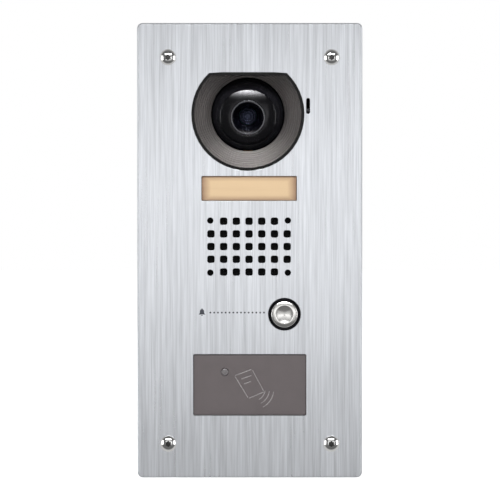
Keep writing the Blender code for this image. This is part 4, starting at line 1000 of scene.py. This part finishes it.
def make_reader_led():
    """The small domed lamp in the reader window."""
    front, back = depths_of("reader_led_lens")
    profile = [(0, front)]
    for i in range(1, 11):
        angle = math.pi / 2 * i / 10
        drop = READER_LAMP_RISE * (1 - math.cos(angle))
        profile.append((READER_LAMP_RADIUS * math.sin(angle), front + drop))
    profile += [*READER_LAMP_FLANGE, (READER_LAMP_FLANGE[-1][0], back), (0, back)]
    place = on_axis_of("reader_led_lens")
    show("reader_lamp", lathe(profile, 48), "led_plastic", place, stands_for=["reader_led_lens"])


# The card sign, in millimetres right of and above the reader window's middle.
CARD_CORNERS = ((-9.2, 5.5), (1.3, 9.3), (8.6, -4.2), (-0.8, -8.2))
CARD_LINES = (((-5.0, 3.5), (0.8, 5.6)), ((-3.4, 0.6), (0.6, 2.0)))
WAVE_CENTRE = (2.2, -2.6)
WAVE_RADII = (7.0, 9.6, 12.2)
SIGN_LINE = 0.55
SIGN_RISE = 0.35


def make_card_symbol():
    """A plain raised sign on the reader window: a slanted card and three radio waves, lighter than the
    window as painted highlight.
    """
    front, _ = depths_of("reader_window")
    paths = []
    for start, end in zip(CARD_CORNERS, CARD_CORNERS[1:] + CARD_CORNERS[:1]):
        middle = (Vector(start) + Vector(end)) / 2
        paths.append([middle.lerp(Vector(start), 0.9), middle.lerp(Vector(end), 0.9)])
    paths += [arc_points(WAVE_CENTRE, radius, -62, -8) for radius in WAVE_RADII]
    paths += CARD_LINES
    mesh = bmesh.new()
    for path in paths:
        stroke(mesh, path, SIGN_LINE, front - SIGN_RISE, front + 0.2)
    piece = show("card_symbol", mesh, "symbol_highlight_plastic", on_axis_of("reader_window"))


BELL_RIM = ((-1.25, 0.2), (-1.45, -0.65), (-2.1, -1.25), (2.1, -1.25), (1.45, -0.65), (1.25, 0.2))
BELL_PLACE = (-49.5, 1.1)  # from the middle of the button
DOTS = 15
DOT_SPACING = 2.3
DOT_RADIUS = 0.55
FIRST_DOT = 5.0


def make_bell_print():
    """A printed bell left of the button, with a dotted line that leads to it."""
    shapes = [
        [*BELL_RIM, *arc_points((0.0, 0.75), 1.25, 0, 180, 14)],
        arc_points((0.0, -1.5), 0.55, 180, 360, 10),
        arc_points((0.0, 2.15), 0.3, 0, 330, 10),
    ]
    for i in range(DOTS):
        shapes.append(arc_points((FIRST_DOT + DOT_SPACING * i, -0.1), DOT_RADIUS, 0, 348, 10))
    mesh = bmesh.new()
    for outline in shapes:
        prism(mesh, outline, PLATE_FRONT - 0.03, PLATE_FRONT + 0.02)
    button = middle_of("button_cap")
    place = on_wall(button.x + BELL_PLACE[0] * MM, button.z + BELL_PLACE[1] * MM)
    show("bell_print", mesh, "printed_ink", place)


# -------- wall box

FLAP_HEIGHT = 17.0
FLAP_TAPER = 5.0
FLAP_SHEET = 0.5
FLAP_MARGIN = 3.0
WELD_ROWS = ((2.3, 0.0), (1.9, -0.22), (1.5, -0.18), (1.2, -0.05))  # radius and depth
WELD_SPACING = 12.0


def add_spot(mesh, centre, levels):
    """A small round mark made of rings with the given radii and depths, the last one filled."""
    rows = []
    for radius, depth in levels:
        rows.append([(x, depth, z) for x, z in arc_points(centre, radius, 0, 345, 23)])
    add_face(mesh, skin(mesh, rows)[-1])


def make_box_flaps():
    """The flaps that close the corners of the folded box, each held by three spot welds."""
    low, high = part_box("back_box")
    half = (high.y - low.y) / 2 / MM - FLAP_MARGIN
    shoulder, tip = FLAP_HEIGHT / 2, FLAP_HEIGHT / 2 + FLAP_TAPER
    outline = [(-half, -shoulder), (half, -shoulder), (half, shoulder)]
    outline += [(half - FLAP_TAPER, tip), (FLAP_TAPER - half, tip), (-half, shoulder)]
    for (side, way), x in zip(SIDES, (low.x, high.x)):
        for row, z, up in (("upper", high.z, -1), ("lower", low.z, 1)):
            mesh = bmesh.new()
            prism(mesh, outline, -FLAP_SHEET, 0.05, 0.15)
            for i in (-1, 0, 1):
                add_spot(mesh, (i * WELD_SPACING, 2.0), [(r, d - FLAP_SHEET) for r, d in WELD_ROWS])
            turn = Matrix.Rotation(way * math.pi / 2, 4, "Z") @ Matrix.Diagonal((1, 1, up, 1))
            middle = (x, (low.y + high.y) / 2, z + up * (FLAP_MARGIN + FLAP_HEIGHT / 2) * MM)
            place = Matrix.Translation(middle) @ Matrix.Scale(MM, 4) @ turn
            piece = show(f"box_flap_{row}_{side}", mesh, "zinc_steel", place)


# -------- cables

# The ribbon's depths behind the wall's surface and heights, from the camera downwards.
RIBBON_PATH = ((26.6, 81.0), (30.4, 75.0), (32.2, 67.0), (32.2, 56.0), (30.2, 46.0))
RIBBON_PATH += ((26.4, 36.0), (24.3, 26.5))
RIBBON_HALF_WIDTH = 4.0
RIBBON_HALF_SHEET = 0.12
LEAD_RADIUS = 1.9
LEAD_LEVEL = 40.5
LEAD_BEND = 12.0


def make_camera_ribbon():
    """The flat ribbon from the camera head down to the main board."""
    low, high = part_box("camera_cable")
    middle = (low.x + high.x) / 2
    left, right = middle / MM - RIBBON_HALF_WIDTH, middle / MM + RIBBON_HALF_WIDTH
    rows = []
    for depth, height in curve_through([*RIBBON_PATH, (RIBBON_PATH[-1][0], low.z / MM)]):
        near, far = depth - RIBBON_HALF_SHEET, depth + RIBBON_HALF_SHEET
        section = ((left, near), (right, near), (right, far), (left, far))
        rows.append([(across, away, height) for across, away in section])
    mesh = bmesh.new()
    closed_skin(mesh, rows)
    piece = show("camera_ribbon", mesh, "ribbon", on_wall(0.0, 0.0), None, ["camera_cable"])
    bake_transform(piece)


def make_reader_lead():
    """The round cable that leaves the reader and climbs behind the rear cover."""
    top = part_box("reader_cable")[1].z / MM - 0.2
    foot = middle_of("reader_board").z / MM
    turn = LEAD_LEVEL - LEAD_BEND
    path = [(0.0, 10.2, foot), (0.0, 19.0, foot), (0.0, turn, foot)]
    for i in range(1, 13):
        angle = math.radians(90 * i / 12)
        path.append((0.0, turn + LEAD_BEND * math.sin(angle), foot + LEAD_BEND * (1 - math.cos(angle))))
    path += [(-1.0, LEAD_LEVEL, -60.0), (-3.0, LEAD_LEVEL, top)]
    mesh = bmesh.new()
    add_bar(mesh, curve_through(path, 4), LEAD_RADIUS, 16)
    show("reader_lead", mesh, "cable_jacket", on_wall(0.0, 0.0), stands_for=["reader_cable"])


# -------- studio


def softbox(name, place, aim, width, height, radiance, fades=()):
    """A rectangular lamp turned towards a point, unseen by the camera.

    Each fade is an axis, a line, a reach and a rest. The lamp is brightest along the line, a share
    of its width (X) or height (Y), and dims as a bell curve of that reach down to the rest.
    """
    lamp = bpy.data.lights.new(name, "AREA")
    lamp.shape = "RECTANGLE"
    lamp.size, lamp.size_y = width, height
    lamp.energy = radiance * math.pi * width * height
    if fades:
        lamp.use_nodes = True
        nodes = Nodes(lamp.node_tree)
        across = nodes.add("ShaderNodeNewGeometry").outputs["Parametric"]
        shares = nodes.add("ShaderNodeSeparateXYZ", {0: across}).outputs
        level = 1.0
        for axis, line, reach, rest in fades:
            away = nodes.calc("DIVIDE", nodes.calc("SUBTRACT", shares[axis], line), reach)
            bell = nodes.calc("EXPONENT", nodes.calc("MULTIPLY", nodes.calc("POWER", away, 2.0), -1.0))
            level = nodes.calc("MULTIPLY", level, nodes.between(bell, rest, 1.0, 0.0, 1.0))
        nodes.feed(nodes.tree.nodes["Emission"], "Strength", level)
    thing = bpy.data.objects.new(name, lamp)
    thing.location = place
    thing.rotation_euler = (Vector(aim) - Vector(place)).to_track_quat("-Z", "Y").to_euler()
    thing.visible_camera = False
    bpy.context.scene.collection.objects.link(thing)


# How bright the studio's walls are in reflections, by their distance from the camera's axis.
GLOW = ((0.0, 0.22), (0.35, 0.18), (0.90, 0.14), (0.97, 0.55), (1.0, 0.62))
GLOW_DROP = 0.035
CAMERA_DISTANCE = 2.083
CAMERA_ELEVATION = 2.0


def make_world():
    """White for the camera, an even glow on matt surfaces, and a dim studio in reflections.

    Square to the camera's axis and behind the panel it is brighter, which only the panel's outer
    edges, sides and back can see.
    """
    world = bpy.data.worlds.new("studio")
    bpy.context.scene.world = world
    world.use_nodes = True
    nodes = Nodes(world.node_tree)
    direction = nodes.add("ShaderNodeTexCoord").outputs["Generated"]
    flat = nodes.add("ShaderNodeVectorMath", {0: direction, 1: (1.0, 0.0, 1.0)}, operation="MULTIPLY")
    inputs = {0: flat.outputs[0], 1: (0.0, 0.0, GLOW_DROP)}
    lowered = nodes.add("ShaderNodeVectorMath", inputs, operation="SUBTRACT").outputs[0]
    distance = nodes.add("ShaderNodeVectorMath", {0: lowered}, operation="LENGTH").outputs["Value"]
    ramp = nodes.add("ShaderNodeValToRGB", {"Fac": distance})
    stops = ramp.color_ramp.elements
    inner = [stops.new(share) for share, _ in GLOW[1:-1]]
    for (_, level), stop in zip(GLOW, [stops[0], *inner, stops[-1]]):
        stop.color = (level, level, level, 1.0)
    depth = nodes.add("ShaderNodeSeparateXYZ", {0: direction}).outputs["Y"]
    behind = nodes.between(depth, 0.0, 1.0, 0.05, 0.45)
    colour = nodes.blend(behind, ramp.outputs["Color"], (0.62, 0.62, 0.62))
    path = nodes.add("ShaderNodeLightPath")
    colour = nodes.blend(path.outputs["Is Diffuse Ray"], colour, (0.26, 0.27, 0.285))
    colour = nodes.blend(path.outputs["Is Camera Ray"], colour, (1.0, 1.0, 1.0))
    nodes.feed(nodes.tree.nodes["Background"], "Color", colour)


def make_floor():
    """A pale floor under the panel."""
    mesh = bmesh.new()
    half = 3.0
    corners = [(-half, -half, 0.0), (half, -half, 0.0), (half, half, 0.0), (-half, half, 0.0)]
    add_face(mesh, skin(mesh, [corners])[0], smooth=False)
    data = bpy.data.meshes.new("floor")
    mesh.to_mesh(data)
    mesh.free()
    floor = bpy.data.objects.new("floor", data)
    floor.location.z = CAD_LOW.z - 0.3 * MM
    floor.visible_glossy = False
    floor.visible_shadow = False
    bpy.context.scene.collection.objects.link(floor)
    recipe = Recipe("pale_floor", (0.9, 0.9, 0.9), 0.9)
    recipe.feed(recipe.shader, "Emission Color", (1.0, 1.0, 1.0, 1.0))
    recipe.feed(recipe.shader, "Emission Strength", 0.8)
    data.materials.append(recipe.material)


def make_lights():
    """A wide soft front light, a strip above it, a weak light from each side and one behind."""
    at_wall = (0.0, WALL, 0.0)
    middle_glow = [("Y", 0.60, 0.232, 0.32)]
    softbox("front_box", (0.06, -0.75, -0.04), (0.06, WALL, -0.04), 0.95, 0.62, 1.13, middle_glow)
    top_glow = [("Y", 1.51, 0.54, 0.0), ("X", 0.5, 0.35, 0.05)]
    softbox("key_strip", (0.0, -0.72, 0.445), (0.0, WALL, 0.05), 0.95, 0.27, 135.0, top_glow)
    for side, way in SIDES:
        softbox("side_box_" + side, (0.85 * way, -0.50, 0.02), at_wall, 0.35, 0.60, 2.6)
    softbox("rear_box", (0.4, 1.1, 0.5), (0.0, 0.0, 0.0), 1.2, 0.9, 1.2)


def make_camera():
    """A long lens square to the panel and a little above it."""
    lens = bpy.data.cameras.new("camera")
    lens.lens = 250.0
    lens.sensor_width = 36.0
    camera = bpy.data.objects.new("camera", lens)
    aim = Vector((0.12 * MM, PLATE_LOW.y, 0.5 * MM))
    elevation = math.radians(CAMERA_ELEVATION)
    back = Vector((0.0, -math.cos(elevation), math.sin(elevation)))
    camera.location = aim + CAMERA_DISTANCE * back
    camera.rotation_euler = (-back).to_track_quat("-Z", "Y").to_euler()
    bpy.context.scene.collection.objects.link(camera)
    bpy.context.scene.camera = camera
    bpy.context.scene.view_settings.view_transform = "Standard"


# -------- assembly

dress_cad_nodes()
make_dish()
make_ball()
make_lens()
make_face_screws()
make_button_cap()
make_button_ring()
make_button_spring()
make_grille_cloth()
make_reader_led()
make_card_symbol()
make_bell_print()
make_box_flaps()
make_camera_ribbon()
make_reader_lead()
make_world()
make_floor()
make_lights()
make_camera()
